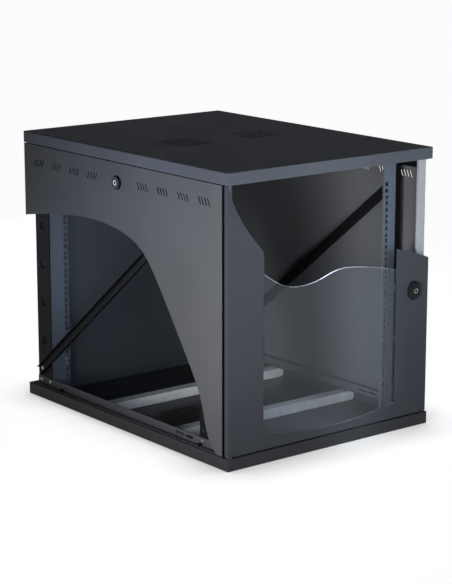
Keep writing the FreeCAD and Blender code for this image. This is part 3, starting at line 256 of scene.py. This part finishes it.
# %% Lamps
def add_lamp(name, place, aim, wide, tall, power, spread, tint=(1, 1, 1)):
    """A soft window of light at a place that aims at a point. Mirrors don't show it."""
    data = bpy.data.lights.new(name, "AREA")
    data.shape = "RECTANGLE"
    data.size = wide
    data.size_y = tall
    data.energy = power
    data.spread = math.radians(spread)
    data.color = tint
    lamp = bpy.data.objects.new(name, data)
    lamp.location = place
    lamp.rotation_euler = (Vector(aim) - Vector(place)).to_track_quat("-Z", "Y").to_euler()
    lamp.visible_glossy = False
    bpy.context.scene.collection.objects.link(lamp)
    return lamp


DAYLIGHT = (0.85, 0.92, 1)
LAMPS = (
    # name, place, aim, width and height in metres, watts, spread in degrees, and perhaps a tint
    ("left_window", (-1.8, -1.4, 0.5), (-0.3, -0.48, 0.35), 0.75, 0.75, 4.8, 38),
    ("front_window", (0.6, -3.4, 1.02), (0, -0.4, 0.92), 1.6, 1.0, 4.5, 34, (0.76, 0.87, 1)),
    ("inside_window", (-1.0, -2.4, 0.75), (0.28, 0.08, 0.52), 0.5, 0.5, 0.95, 24, (0.95, 0.97, 1)),
    ("arch_window", (-1.6, -1.6, 0.4), (-0.24, 0.4, 0.3), 0.12, 0.2, 0.08, 9, DAYLIGHT),
    ("right_window", (2.6, -0.6, 0.6), (0.3, 0, 0.33), 1.4, 0.9, 8, 90, DAYLIGHT),
    ("tray_window", (-0.05, -1.0, 1.6), (0.08, -0.31, 0.03), 0.12, 0.12, 0.3, 10, (0.8, 0.89, 1)),
    ("rear_window", (0.55, 2.6, 0.5), (0.05, 0.4, 0.33), 1.4, 0.8, 7, 90, (0.9, 0.95, 1)),
)
for lamp in LAMPS:
    add_lamp(*lamp)
glow = add_lamp("lock_glow", (-1.25, 1.15, 0.28), (-0.3, 0, 0.58), 0.3, 0.4, 0.26, 60, (0.5, 0.64, 1))
glow.visible_glossy, glow.visible_diffuse = True, False

# %% [markdown]
# ## Powder coat
# Nearly every sheet of the cabinet is steel with baked powder on it. Powder flows out a
# little less flat than wet paint: up close it has a fine grain called orange peel, and it is
# thinnest, so a touch paler and shinier, on the bent edges; that paler edge also serves as a
# painted highlight along each bend. One recipe makes all the coats: a fine noise for the grain,
# a broad one for the slight change of tone over a sheet, and a comparison of the true and the
# rounded normal, which finds the edges.

# %% Recipe for a powder coat
BENT_EDGE = 0.0003
PEEL_DEPTH = 0.0004


def broad_tone(tree, place, colour, spread, scale):
    """The colour, a little darker and lighter over the sheet."""
    clouds = add_node(tree, "ShaderNodeTexNoise")
    clouds.inputs["Scale"].default_value = scale
    clouds.inputs["Detail"].default_value = 3
    ramp = add_node(tree, "ShaderNodeValToRGB")
    ramp.color_ramp.elements[0].position = 0.3
    ramp.color_ramp.elements[1].position = 0.7
    for element, factor in zip(ramp.color_ramp.elements, (1 - spread, 1 + spread)):
        element.color = (*[min(1, part * factor) for part in colour], 1)
    link_chain(tree, (place, clouds.inputs["Vector"]), (clouds.outputs["Fac"], ramp.inputs["Fac"]))
    return ramp.outputs["Color"]


def rounded_normal(tree, radius):
    """The way a surface faces, with its bent edges rounded off."""
    soft = add_node(tree, "ShaderNodeBevel", samples=6)
    soft.inputs["Radius"].default_value = radius
    return soft.outputs[0]


def edge_mask(tree, round_normal):
    """1 on bent edges, 0 on flat sheet."""
    hard = add_node(tree, "ShaderNodeNewGeometry")
    alike = add_node(tree, "ShaderNodeVectorMath", operation="DOT_PRODUCT")
    mask = add_node(tree, "ShaderNodeMapRange")
    mask.inputs["From Min"].default_value = 0.995
    mask.inputs["From Max"].default_value = 0.82
    link_chain(tree, (round_normal, alike.inputs[0]), (hard.outputs["Normal"], alike.inputs[1]),
               (alike.outputs["Value"], mask.inputs["Value"]))
    return mask.outputs[0]


def make_coat(name, colour, rough, specular, grain=1400, relief=0.02, edge_pale_and_highlight=1.6, spread=0.07):
    """A powder coat: colour, gloss, grain per metre, relief and how much the edges pale, from thinner
    coat and a painted highlight.
    """
    material, tree, output = new_material(name)
    place = add_node(tree, "ShaderNodeTexCoord").outputs["Object"]
    tone = broad_tone(tree, place, colour, spread, 5)
    round_normal = rounded_normal(tree, BENT_EDGE)
    # Paler bent edges: thinner coat there, and a painted highlight along each bend.
    paler = add_node(tree, "ShaderNodeMix", data_type="RGBA")
    paler.inputs[7].default_value = (*[min(1, part * edge_pale_and_highlight + 0.004) for part in colour], 1)
    peel = add_node(tree, "ShaderNodeTexNoise")
    peel.inputs["Scale"].default_value = grain
    peel.inputs["Detail"].default_value = 2
    bump = add_node(tree, "ShaderNodeBump")
    bump.inputs["Strength"].default_value = relief
    bump.inputs["Distance"].default_value = PEEL_DEPTH
    gloss = add_node(tree, "ShaderNodeMapRange")
    gloss.inputs["To Min"].default_value = rough - 0.05
    gloss.inputs["To Max"].default_value = rough + 0.07
    handling = add_node(tree, "ShaderNodeTexNoise")
    handling.inputs["Scale"].default_value = 14
    handling.inputs["Detail"].default_value = 5
    surface = add_node(tree, "ShaderNodeBsdfPrincipled")
    surface.inputs["Specular IOR Level"].default_value = specular
    link_chain(tree, (edge_mask(tree, round_normal), paler.inputs[0]), (tone, paler.inputs[6]),
               (paler.outputs[2], surface.inputs["Base Color"]), (place, peel.inputs["Vector"]),
               (peel.outputs["Fac"], bump.inputs["Height"]), (round_normal, bump.inputs["Normal"]),
               (bump.outputs[0], surface.inputs["Normal"]), (place, handling.inputs["Vector"]),
               (handling.outputs["Fac"], gloss.inputs["Value"]),
               (gloss.outputs[0], surface.inputs["Roughness"]),
               (surface.outputs[0], output.inputs["Surface"]))
    return material


def finish(material, *names):
    """Gives these solids the material in place of the plain one they came with."""
    for name in names:
        nodes[name].material_slots[0].material = material
    print(material.name, "on", len(names), "solids")


# %% [markdown]
# The colours come from one paint shop. The cover and the side panels are dark grey, the door
# and the back are a darker and bluer grey, the tray is darker still, the frame inside is black
# and the rack rails are blue grey. Each coat is the same recipe with its own colour and gloss,
# so the sheets look painted in batches and not cut from one block.

# %% The coats
BOTH = ("left", "right")
door_powder = make_coat("door_powder", (0.034, 0.038, 0.045), 0.4, 0.2)
frame_black = make_coat("frame_black", (0.003, 0.003, 0.0034), 0.45, 0.12)
finish(make_coat("cover_powder", (0.054, 0.06, 0.07), 0.38, 0.32), "top_cover")
finish(make_coat("tray_powder", (0.026, 0.027, 0.03), 0.4, 0.25), "base_tray")
finish(make_coat("lower_rail_grey", (0.058, 0.06, 0.064), 0.4, 0.3),
       *[f"depth_rail_bottom_{side}" for side in BOTH])
finish(make_coat("panel_powder", (0.07, 0.072, 0.077), 0.4, 0.2, edge_pale_and_highlight=1.3),
       *[f"side_panel_{side}" for side in BOTH])
finish(make_coat("back_powder", (0.034, 0.038, 0.045), 0.4, 0.3, relief=0.01), "back_panel")
finish(door_powder, "door_frame", "hinge_bracket_upper")
# The left door post is zinc like the right one, but it stands in shade, so it gets the black coat:
# painted shade.
finish(frame_black, "door_post_left", "panel_locating_pins",
       *[f"{kind}_{side}" for side in BOTH
         for kind in ("front_post", "rear_post", "diagonal_brace", "depth_rail_top")])
finish(make_coat("rail_blue_grey", (0.062, 0.075, 0.097), 0.42, 0.25, relief=0.015),
       *[f"rack_rail_{row}_{side}" for row in ("front", "rear") for side in BOTH])

# %% [markdown]
# ## Plated steel, brass and the locks' bright parts
# Zinc plate is a metal, so its colour is its reflection. Rolled sheet shows faint lines along
# its length and small cloudy patches where the plating took unevenly. A stretched noise makes
# the lines and a cell pattern the patches.

# %% Recipe for a plated metal
PLATED_EDGE = 0.0004
LINE_DEPTH = 0.0003


def make_plate(name, colour, rough, stretch=(1, 1, 1), patch=0.12, scale=60, metallic=1.0):
    """Plated metal: colour, gloss, the way its lines are drawn out, and its clouds."""
    material, tree, output = new_material(name)
    place = add_node(tree, "ShaderNodeTexCoord").outputs["Object"]
    map_place = add_node(tree, "ShaderNodeMapping")
    map_place.inputs["Scale"].default_value = stretch
    grain = add_node(tree, "ShaderNodeTexNoise")
    grain.inputs["Scale"].default_value = 700
    grain.inputs["Detail"].default_value = 3
    clouds = add_node(tree, "ShaderNodeTexVoronoi", feature="SMOOTH_F1")
    clouds.inputs["Scale"].default_value = scale
    ramp = add_node(tree, "ShaderNodeValToRGB")
    ramp.color_ramp.elements[0].color = (*[part * (1 - patch) for part in colour], 1)
    ramp.color_ramp.elements[1].color = (*[min(1, part * (1 + patch)) for part in colour], 1)
    gloss = add_node(tree, "ShaderNodeMapRange")
    gloss.inputs["To Min"].default_value = rough - 0.08
    gloss.inputs["To Max"].default_value = rough + 0.1
    round_normal = rounded_normal(tree, PLATED_EDGE)
    bump = add_node(tree, "ShaderNodeBump")
    bump.inputs["Strength"].default_value = 0.05
    bump.inputs["Distance"].default_value = LINE_DEPTH
    surface = add_node(tree, "ShaderNodeBsdfPrincipled")
    surface.inputs["Metallic"].default_value = metallic
    link_chain(tree, (place, map_place.inputs["Vector"]),
               (map_place.outputs[0], grain.inputs["Vector"]),
               (place, clouds.inputs["Vector"]), (clouds.outputs["Distance"], ramp.inputs["Fac"]),
               (ramp.outputs["Color"], surface.inputs["Base Color"]),
               (grain.outputs["Fac"], gloss.inputs["Value"]),
               (gloss.outputs[0], surface.inputs["Roughness"]),
               (grain.outputs["Fac"], bump.inputs["Height"]),
               (round_normal, bump.inputs["Normal"]), (bump.outputs[0], surface.inputs["Normal"]),
               (surface.outputs[0], output.inputs["Surface"]))
    return material


# %% [markdown]
# Crossbars and wall rails are rolled from zinc-plated strip, so their lines run along X, and
# those of the right door post run up it. Screws, cams and clips are plated as loose parts and
# have a finer cloud without lines. A little diffuse in the big pieces keeps them from going
# black where they mirror the dark inside.

# %% The metals
ZINC = (0.8, 0.81, 0.82)
WALL_ZINC = (0.6, 0.61, 0.62)
small_zinc = make_plate("zinc_small", (0.62, 0.62, 0.62), 0.36, scale=300)
lock_plated = make_plate("lock_plated", (0.75, 0.75, 0.75), 0.2, scale=400)
brass = make_plate("brass", (0.75, 0.56, 0.27), 0.3, scale=300)
bare_steel = make_plate("bare_steel", (0.42, 0.43, 0.45), 0.4, scale=500, metallic=0.4)
lock_black = make_coat("lock_black", (0.008, 0.008, 0.0095), 0.3, 0.18, grain=2600)
moulded_black = make_coat("moulded_black", (0.02, 0.02, 0.021), 0.5, 0.4, grain=3000)
foam_black = make_coat("foam_black", (0.01, 0.01, 0.01), 0.9, 0.2, grain=2600, relief=0.6)
for name, colour, places in (("zinc_across", ZINC, ("crossbar_front", "crossbar_rear")),
                             ("zinc_wall", WALL_ZINC, ("wall_rail_lower", "wall_rail_upper"))):
    finish(make_plate(name, colour, 0.42, (0.05, 1, 1), metallic=0.35), *places)
finish(make_plate("zinc_upright", (0.34, 0.35, 0.365), 0.45, (1, 1, 0.05), patch=0.06,
                  metallic=0.35), "door_post_right")
finish(small_zinc, "glass_clips", "glass_clip_nuts", "hinge_pin_lower", "hinge_pin_upper",
       "door_lock_cam", "door_lock_screw", "door_lock_nut", "hinge_spring",
       *[f"side_lock_{kind}_{side}" for kind in ("cam", "screw", "nut") for side in BOTH])
finish(brass, "earth_nuts")
finish(lock_black, "door_lock_housing", "side_lock_housing_left", "side_lock_housing_right")
finish(moulded_black, "access_plugs", "hinge_bush")
finish(foam_black, "glass_tape")

# %% [markdown]
# ## The glass
# The pane is tempered glass with a faint blue-grey tint. Real refraction would darken all
# that lies behind it in a render, since few lamp rays find their way through it. A pane is flat
# and thin, so clear transparency with a Fresnel mirror on top looks the same and stays clean.
# Its edges are ground: a face that points more to the side or up than to the front or back is
# matt. That holds for a door that is shut or swung wide open, and not for one half way.

# %% Glass
GLASS_TINT = (0.94, 0.96, 0.98, 1)
GLASS_HAZE = 0.013
GLASS_IOR = 1.45


def make_glass():
    """Clear with a Fresnel mirror and a breath of haze, and a ground edge."""
    material, tree, output = new_material("tinted_glass")
    clear = add_node(tree, "ShaderNodeBsdfTransparent")
    clear.inputs["Color"].default_value = GLASS_TINT
    mirror = add_node(tree, "ShaderNodeBsdfGlossy")
    mirror.inputs["Color"].default_value = (0.9, 0.95, 1, 1)
    mirror.inputs["Roughness"].default_value = 0.02
    veil = add_node(tree, "ShaderNodeBsdfDiffuse")
    veil.inputs["Color"].default_value = (0.6, 0.64, 0.7, 1)
    fresnel = add_node(tree, "ShaderNodeFresnel")
    fresnel.inputs["IOR"].default_value = GLASS_IOR
    entering = add_node(tree, "ShaderNodeMath", operation="SUBTRACT")
    entering.inputs[0].default_value = 1
    mirrored = add_node(tree, "ShaderNodeMath", operation="MULTIPLY")
    hazy = add_node(tree, "ShaderNodeMixShader")
    hazy.inputs[0].default_value = GLASS_HAZE
    pane = add_node(tree, "ShaderNodeMixShader")
    shape = add_node(tree, "ShaderNodeNewGeometry")
    split = add_node(tree, "ShaderNodeSeparateXYZ")
    facing = add_node(tree, "ShaderNodeMath", operation="ABSOLUTE")
    is_edge = add_node(tree, "ShaderNodeMath", operation="LESS_THAN")
    is_edge.inputs[1].default_value = 0.5
    ground = add_node(tree, "ShaderNodeBsdfPrincipled")
    ground.inputs["Base Color"].default_value = (0.3, 0.36, 0.4, 1)
    ground.inputs["Roughness"].default_value = 0.35
    whole = add_node(tree, "ShaderNodeMixShader")
    link_chain(tree, (clear.outputs[0], hazy.inputs[1]), (veil.outputs[0], hazy.inputs[2]),
               (shape.outputs["Backfacing"], entering.inputs[1]),
               (fresnel.outputs[0], mirrored.inputs[0]),
               (entering.outputs[0], mirrored.inputs[1]), (mirrored.outputs[0], pane.inputs[0]),
               (hazy.outputs[0], pane.inputs[1]),
               (mirror.outputs[0], pane.inputs[2]), (shape.outputs["True Normal"], split.inputs[0]),
               (split.outputs["Y"], facing.inputs[0]), (facing.outputs[0], is_edge.inputs[0]),
               (is_edge.outputs[0], whole.inputs[0]), (pane.outputs[0], whole.inputs[1]),
               (ground.outputs[0], whole.inputs[2]), (whole.outputs[0], output.inputs["Surface"]))
    return material


finish(make_glass(), "door_glass")

# %% [markdown]
# ## Small hardware
# The solids give every screw its place and its outer size. What makes a screw look like one
# is finer: a crowned head with a cross recess, and a thread. Both are drawn as a height over
# a round plate or along a stem, so one formula each is enough. A replaced solid is hidden,
# and it still counts for collisions.

# %% Helpers for new pieces
def islands(name):
    """The low and high corner of each loose solid in a node, in the frame's own metres."""
    piece = nodes[name]
    mesh = bmesh.new()
    mesh.from_mesh(piece.data)
    bmesh.ops.remove_doubles(mesh, verts=mesh.verts, dist=1e-6)
    waiting = set(mesh.verts)
    boxes = []
    while waiting:
        front = [waiting.pop()]
        places = []
        while front:
            here = front.pop()
            places.append(piece.matrix_world @ here.co)
            near = {edge.other_vert(here) for edge in here.link_edges} & waiting
            waiting -= near
            front.extend(near)
        boxes.append((Vector([min(place[axis] for place in places) for axis in range(3)]),
                      Vector([max(place[axis] for place in places) for axis in range(3)])))
    mesh.free()
    return sorted(boxes, key=lambda box: tuple(round(part, 4) for part in box[0]))


def as_piece(name, points, faces, material, body, slot, smooth=35):
    """A mesh of its own that moves with a body and takes the material given. The slot is not used."""
    shape = bpy.data.meshes.new(name)
    shape.from_pydata([tuple(point) for point in points], [], faces)
    shape.materials.append(material)
    shape.validate()
    piece = bpy.data.objects.new(name, shape)
    bpy.context.scene.collection.objects.link(piece)
    shape.shade_smooth()
    shape.set_sharp_from_angle(angle=math.radians(smooth))
    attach(piece, body)
    return piece


def turned(outline, steps=40):
    """Points and faces of an outline of (radius, height) pairs turned about the Z axis."""
    points, faces = [], []
    for radius, height in outline:
        points += [Vector((radius * math.cos(2 * math.pi * step / steps),
                           radius * math.sin(2 * math.pi * step / steps), height))
                   for step in range(steps)]
    for row in range(len(outline) - 1):
        for step in range(steps):
            here, there = row * steps + step, row * steps + (step + 1) % steps
            faces.append((here, there, there + steps, here + steps))
    faces.append(tuple(reversed(range(steps))))
    last = (len(outline) - 1) * steps
    faces.append(tuple(range(last, last + steps)))
    return points, faces


def joined(parts):
    """Several (points, faces) lists as one."""
    points, faces = [], []
    for some_points, some_faces in parts:
        start = len(points)
        points += some_points
        faces += [tuple(start + index for index in face) for face in some_faces]
    return points, faces


def stood(part, place, direction):
    """A part drawn along +Z, moved to a place and turned to a direction."""
    turn = Vector(direction).to_track_quat("Z", "Y").to_matrix()
    return [turn @ point + Vector(place) for point in part[0]], part[1]


# %% [markdown]
# A pan head is a low dome with a cross pressed into it. A boolean cut would leave ragged
# triangles, so the head is made of rings of points, and those near the two arms are lowered.
# The thread is turned as close rings: at this size nobody can tell them from a helix.

# %% A pan head with a cross recess, and a threaded stem
RECESS_DEEP = 0.0009
RECESS_WIDE = 0.00055
RECESS_SLOPE = 0.0003
STEM_RADIUS = 0.0024


def pan_head(radius, height, steps=48, rows=14):
    """A crowned head over the XY plane, with a cross sunk into it."""
    points, faces = [], []
    for row in range(rows):
        share = row / rows
        across = radius * (1 - share)
        crown = height * math.sqrt(max(0, 1 - (1 - share) ** 4))
        for step in range(steps):
            angle = 2 * math.pi * step / steps
            x, y = across * math.cos(angle), across * math.sin(angle)
            sunk = 0
            if across < 0.58 * radius:
                to_arm = min(abs(x), abs(y)) - RECESS_WIDE
                sunk = RECESS_DEEP * max(0, min(1, 1 - to_arm / RECESS_SLOPE))
            points.append(Vector((x, y, crown - sunk)))
    for row in range(rows - 1):
        for step in range(steps):
            here, there = row * steps + step, row * steps + (step + 1) % steps
            faces.append((here, there, there + steps, here + steps))
    inner = (rows - 1) * steps
    faces.append(tuple(range(inner, inner + steps)))
    faces.append(tuple(reversed(range(steps))))
    return points, faces


def threaded(radius, start, end, pitch=0.0008):
    """A stem from start to end with its thread turned as close rings."""
    count = max(2, int((end - start) / pitch))
    outline = [(radius * 0.86, start)]
    for ring in range(count):
        low = start + (end - start) * ring / count
        outline += [(radius * 0.86, low + pitch * 0.1), (radius, low + pitch * 0.5)]
    outline.append((radius * 0.8, end))
    return turned(outline, 24)


def screws(name, material, slot, head_height=0.0015):
    """Stands crowned screws in the place of a node's plain ones, with their heads outside."""
    made = []
    for low, high in islands(name):
        size = high - low
        middle = (low + high) / 2
        if name == "rack_screws":
            out, head, length = Vector((0, -1, 0)), size.x, size.y
            place = Vector((middle.x, low.y + head_height, middle.z))
        else:
            side = math.copysign(1, middle.x)
            out, head, length = Vector((side, 0, 0)), size.y, size.x
            place = Vector((side * (max(abs(low.x), abs(high.x)) - head_height), middle.y, middle.z))
        body = joined([pan_head(head / 2, head_height),
                       threaded(STEM_RADIUS, head_height - length, 0)])
        made.append(stood(body, place, out))
    piece = as_piece(name + "_crowned", *joined(made), material, "cabinet", slot)
    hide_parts(name)
    return piece


for name, material in (("frame_bolts", small_zinc), ("brace_bolts", small_zinc),
                       ("back_panel_screws", moulded_black), ("rack_screws", small_zinc)):
    piece = screws(name, material, "screw_zinc")
    print(piece.name, len(piece.data.polygons), "faces")

# %% [markdown]
# ## Cage nuts
# A rack screw needs something to bite on: a square nut in a little spring cage, whose two
# ears snap into the square hole of the rail. Both are bent from flat strip, so plain blocks
# and a square ring are enough, placed by the two screws and the back of the rail.

# %% Cage nuts behind the two rack screws
RAIL_SHEET = 0.002
CAGE = 0.0118
CAGE_DEEP = 0.0052
NUT = 0.0098
NUT_BORE = 0.0026
NUT_THICK = 0.0038
EAR = 0.0088


def block(low, high):
    """A box as points and faces, from corner to corner."""
    points = [Vector((x, y, z)) for z in (low[2], high[2])
              for y in (low[1], high[1]) for x in (low[0], high[0])]
    faces = [(0, 2, 3, 1), (4, 5, 7, 6), (0, 1, 5, 4), (2, 6, 7, 3), (0, 4, 6, 2), (1, 3, 7, 5)]
    return points, faces


def cage_nut(x, z, rail_back):
    """The nut with its bore, the cage's side walls, and the ears in the hole."""
    wall = 0.0006
    half = CAGE / 2
    parts = []
    for sign in (-1, 1):
        near, far = sorted((sign * half, sign * (half - wall)))
        parts.append(block((x + near, rail_back, z - half * 0.8),
                           (x + far, rail_back + CAGE_DEEP, z + half * 0.8)))
        near, far = sorted((sign * (EAR / 2 - wall), sign * EAR / 2))
        parts.append(block((x + near, rail_back - RAIL_SHEET - 0.0002, z - 0.003),
                           (x + far, rail_back + 0.001, z + 0.003)))
    rim = [(NUT_BORE, 0), (NUT / 2, 0), (NUT / 2, NUT_THICK), (NUT_BORE, NUT_THICK)]
    points, faces = turned(rim, 4)
    quarter = Matrix.Rotation(math.radians(45), 3, "Z")
    square = ([quarter @ point * math.sqrt(2) for point in points], faces[:-2])
    parts.append(stood(square, (x, rail_back + CAGE_DEEP - wall, z), (0, -1, 0)))
    return joined(parts)


cages = []
for low, high in islands("rack_screws"):
    rail_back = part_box("rack_rail_rear_left")[0][1] + RAIL_SHEET
    cages.append(cage_nut((low.x + high.x) / 2, (low.z + high.z) / 2, rail_back))
cage_nuts = as_piece("cage_nuts", *joined(cages), lock_plated, "cabinet", "screw_zinc", smooth=20)
print(cage_nuts.name, len(cage_nuts.data.polygons), "faces")

# %% [markdown]
# ## Lock faces
# Each lock shows a dark turning plug with a bright rolled ring and a sunk middle for the key.
# The plugs are modelled again so that the ring can be bright and the rest dark.

# %% Plugs and key rings
PLUG_RADIUS = 0.0064
KEY_DEPTH = 0.0034


def lock_face(name, node, body, centre, out, ring_outer, ring_inner, reach, flats):
    """A plug with a sunk key seat, and the bright ring on it. Out points away from the cabinet."""
    seat = ring_inner - 0.0002
    dark = turned([(PLUG_RADIUS, -reach), (PLUG_RADIUS, -0.0009), (PLUG_RADIUS - 0.0005, -0.0005),
                   (ring_outer + 0.0001, -0.0004), (seat, -0.0005), (seat, -KEY_DEPTH),
                   (0.0008, -KEY_DEPTH)])
    post = turned([(0.0019, -0.0036), (0.0019, -0.0006), (0.0012, -0.0003)], flats)
    plug = as_piece(name + "_plug", *stood(joined([dark, post]), centre, out), lock_black, body,
                    "lock_bright", smooth=25)
    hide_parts(node)
    steps = 14
    ring_middle, ring_wire = (ring_outer + ring_inner) / 2, (ring_outer - ring_inner) / 2
    rim = [(ring_middle - ring_wire * math.cos(math.pi * step / steps),
            -0.0006 + 0.0006 * math.sin(math.pi * step / steps)) for step in range(steps + 1)]
    points, faces = turned(rim, 56)
    ring = as_piece(name + "_ring", *stood((points, faces[:-2]), centre, out), lock_plated, body,
                    "lock_bright", smooth=50)
    print(plug.name, ring.name, "reach", round(reach, 4))


for side, sign in (("left", -1), ("right", 1)):
    low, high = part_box(f"side_lock_plug_{side}")
    front = low[0] if sign < 0 else high[0]
    centre = Vector((front, (low[1] + high[1]) / 2, (low[2] + high[2]) / 2))
    lock_face(f"side_lock_{side}", f"side_lock_plug_{side}", f"side_lock_{side}", centre,
              (sign, 0, 0), 0.0062, 0.0036, high[0] - low[0], 4)
low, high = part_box("door_lock_plug")
centre = Vector(((low[0] + high[0]) / 2, low[1], (low[2] + high[2]) / 2))
lock_face("door_lock", "door_lock_plug", "door_lock", centre, (0, -1, 0), 0.0061, 0.0038,
          high[1] - low[1], 24)

# %% [markdown]
# ## Earth stud
# The cabinet is earthed at a brass stud on the lower left rail. It is short and half hidden, so
# the rings that make the screws' threads do for it too, and show between its two nuts.

# %% Threaded earth stud
low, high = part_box("earth_stud")
stud_middle = Vector((low[0], (low[1] + high[1]) / 2, (low[2] + high[2]) / 2))
stud_radius = (high[1] - low[1]) / 2
stud = as_piece("earth_stud_threaded", *stood(threaded(stud_radius, 0, high[0] - low[0], 0.001),
                                              stud_middle, (1, 0, 0)), brass, "cabinet", "brass")
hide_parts("earth_stud")
print(stud.name, "length", round(high[0] - low[0], 4))

# %% [markdown]
# ## The hinge pin's spring
# A pull on the upper hinge pin squeezes a coil between the pin's collar and a lug. The coil is
# wound again from round wire, a small ring of points carried along a helix, over the height of
# the plain spring it replaces.

# %% A coil of round wire
SPRING_WIRE = 0.0008
SPRING_TURNS = 6


def coil(radius, wire, low, high, turns, steps=30, around=10):
    """Round wire along a helix about the Z axis, closed flat at both ends."""
    points, faces = [], []
    last = turns * steps
    for step in range(last + 1):
        angle = 2 * math.pi * step / steps
        height = low + wire / 2 + (high - low - wire) * step / last
        outward = Vector((math.cos(angle), math.sin(angle), 0))
        for part in range(around):
            bend = 2 * math.pi * part / around
            points.append(outward * (radius + wire / 2 * math.cos(bend))
                          + Vector((0, 0, height + wire / 2 * math.sin(bend))))
    for step in range(last):
        for part in range(around):
            here, there = step * around + part, step * around + (part + 1) % around
            faces.append((here, here + around, there + around, there))
    faces.append(tuple(range(around)))
    faces.append(tuple(reversed(range(last * around, last * around + around))))
    return points, faces


low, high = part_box("hinge_spring")
spring_middle = Vector(((low[0] + high[0]) / 2, (low[1] + high[1]) / 2, 0))
wound = coil((high[0] - low[0] - SPRING_WIRE) / 2, SPRING_WIRE, low[2], high[2], SPRING_TURNS)
spring = as_piece("wound_spring", [point + spring_middle for point in wound[0]], wound[1], bare_steel,
                  "door", "spring_wire", smooth=60)
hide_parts("hinge_spring")
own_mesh(spring)

# %% [markdown]
# ## Cut edges
# The display pieces are cut with a laser after coating, so the thin edge along each curve is
# bare steel and catches the light, and the ground top of the glass is given a faint painted glow.
# The walls inside the vents and grilles lie so deep in the shade that they read as black, and
# that shade is painted: black strips lie on them. All are thin strips laid just above the
# solids' own faces.

# %% Strips on the edges of sheets
LIFT = 0.00008


def edge_strips(name, node, body, material, slot, across, thin, chosen):
    """Strips over the faces that stand square to a sheet, where a test of their middle allows."""
    piece = nodes[node]
    points, faces = [], []
    for face in piece.data.polygons:
        corners = [piece.matrix_world @ piece.data.vertices[index].co for index in face.vertices]
        places = [corner[across] for corner in corners]
        if abs(face.normal[across]) > 0.02 or max(places) - min(places) > thin:
            continue
        if not chosen(sum(corners, Vector()) / len(corners)):
            continue
        start = len(points)
        points += [corner + face.normal * LIFT for corner in corners]
        faces.append(tuple(range(start, start + len(corners))))
    strip = as_piece(name, points, faces, material, body, slot, smooth=60)
    thickness = strip.modifiers.new("thickness", "SOLIDIFY")
    thickness.thickness, thickness.offset = 0.0003, -1
    print(name, len(faces), "faces")


def make_painted_edge_glow():
    """The ground edge of the glass: pale, rough, and with a faint painted glow."""
    material, tree, output = new_material("ground_glass_edge")
    place = add_node(tree, "ShaderNodeTexCoord").outputs["Object"]
    grind = add_node(tree, "ShaderNodeTexNoise")
    grind.inputs["Scale"].default_value = 900
    tone = add_node(tree, "ShaderNodeValToRGB")
    tone.color_ramp.elements[0].color = (0.42, 0.5, 0.56, 1)
    tone.color_ramp.elements[1].color = (0.62, 0.7, 0.76, 1)
    surface = add_node(tree, "ShaderNodeBsdfPrincipled")
    surface.inputs["Roughness"].default_value = 0.45
    # Painted glow: the edge gives off a little light in its own colour.
    surface.inputs["Emission Strength"].default_value = 0.16
    link_chain(tree, (place, grind.inputs["Vector"]), (grind.outputs["Fac"], tone.inputs["Fac"]),
               (tone.outputs["Color"], surface.inputs["Base Color"]),
               (tone.outputs["Color"], surface.inputs["Emission Color"]),
               (surface.outputs[0], output.inputs["Surface"]))
    return material


# %% The cut edges of the panel, the door and the glass, and painted shade on the walls of vents and grilles
SHEET = 0.0016
GLASS_SHEET = 0.0045
VENT_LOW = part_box("side_lock_housing_left")[0][2] - 0.004
VENT_ROW, VENT_HALF = 0.588, 0.01
PANEL_RIM = 0.39
STILE_SIDE, STILE_TOP = 0.196, 0.625
WINDOW_SIDE, WINDOW_FOOT, WINDOW_FOOT_TOP = 0.19, 0.036, 0.12
GRILLE_MIDDLE, GRILLE_HALF, GRILLE_SIDE = 0.006, 0.06, 0.17
COVER_LEVEL = 0.6
GLASS_SIDE, GLASS_WAVE_LOW = 0.207, 0.37
panel_face = abs(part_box("side_panel_left")[0][0])
edge_strips("arch_edge", "side_panel_left", "side_panel_left", bare_steel, "panel_coat", 0, SHEET,
            lambda middle: abs(middle.x) > panel_face - SHEET and middle.z < VENT_LOW)
# Painted shade: black strips on the vents' inner walls stand in for the deep shade there.
for side in BOTH:
    edge_strips(f"vent_painted_shade_{side}", f"side_panel_{side}", f"side_panel_{side}", frame_black,
                "panel_coat", 0, SHEET,
                lambda middle: abs(middle.x) > panel_face - SHEET and middle.z > VENT_LOW
                and abs(middle.y) < PANEL_RIM and abs(middle.z - VENT_ROW) < VENT_HALF)
lock_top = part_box("door_lock_housing")[1][2]
edge_strips("stile_edges", "door_frame", "door", bare_steel, "door_coat", 1, SHEET,
            lambda middle: (lock_top + 0.03 < middle.z < STILE_TOP and abs(middle.x) > STILE_SIDE)
            or (WINDOW_FOOT < middle.z < WINDOW_FOOT_TOP and abs(middle.x) < WINDOW_SIDE))
# Painted shade: black strips on the walls of the cover's and the tray's grille slots.
for name, node, coat, level in (("cover_slot_painted_shade", "top_cover", "cover_coat", COVER_LEVEL),
                                ("tray_slot_painted_shade", "base_tray", "tray_coat", 0)):
    edge_strips(name, node, "cabinet", frame_black, coat, 2, SHEET + 0.0002,
                lambda middle: abs(middle.y - GRILLE_MIDDLE) < GRILLE_HALF
                and abs(middle.x) < GRILLE_SIDE and middle.z >= level)
edge_strips("glass_wave_edge", "door_glass", "door", make_painted_edge_glow(), "glass", 1, GLASS_SHEET,
            lambda middle: middle.z > GLASS_WAVE_LOW and abs(middle.x) < GLASS_SIDE)
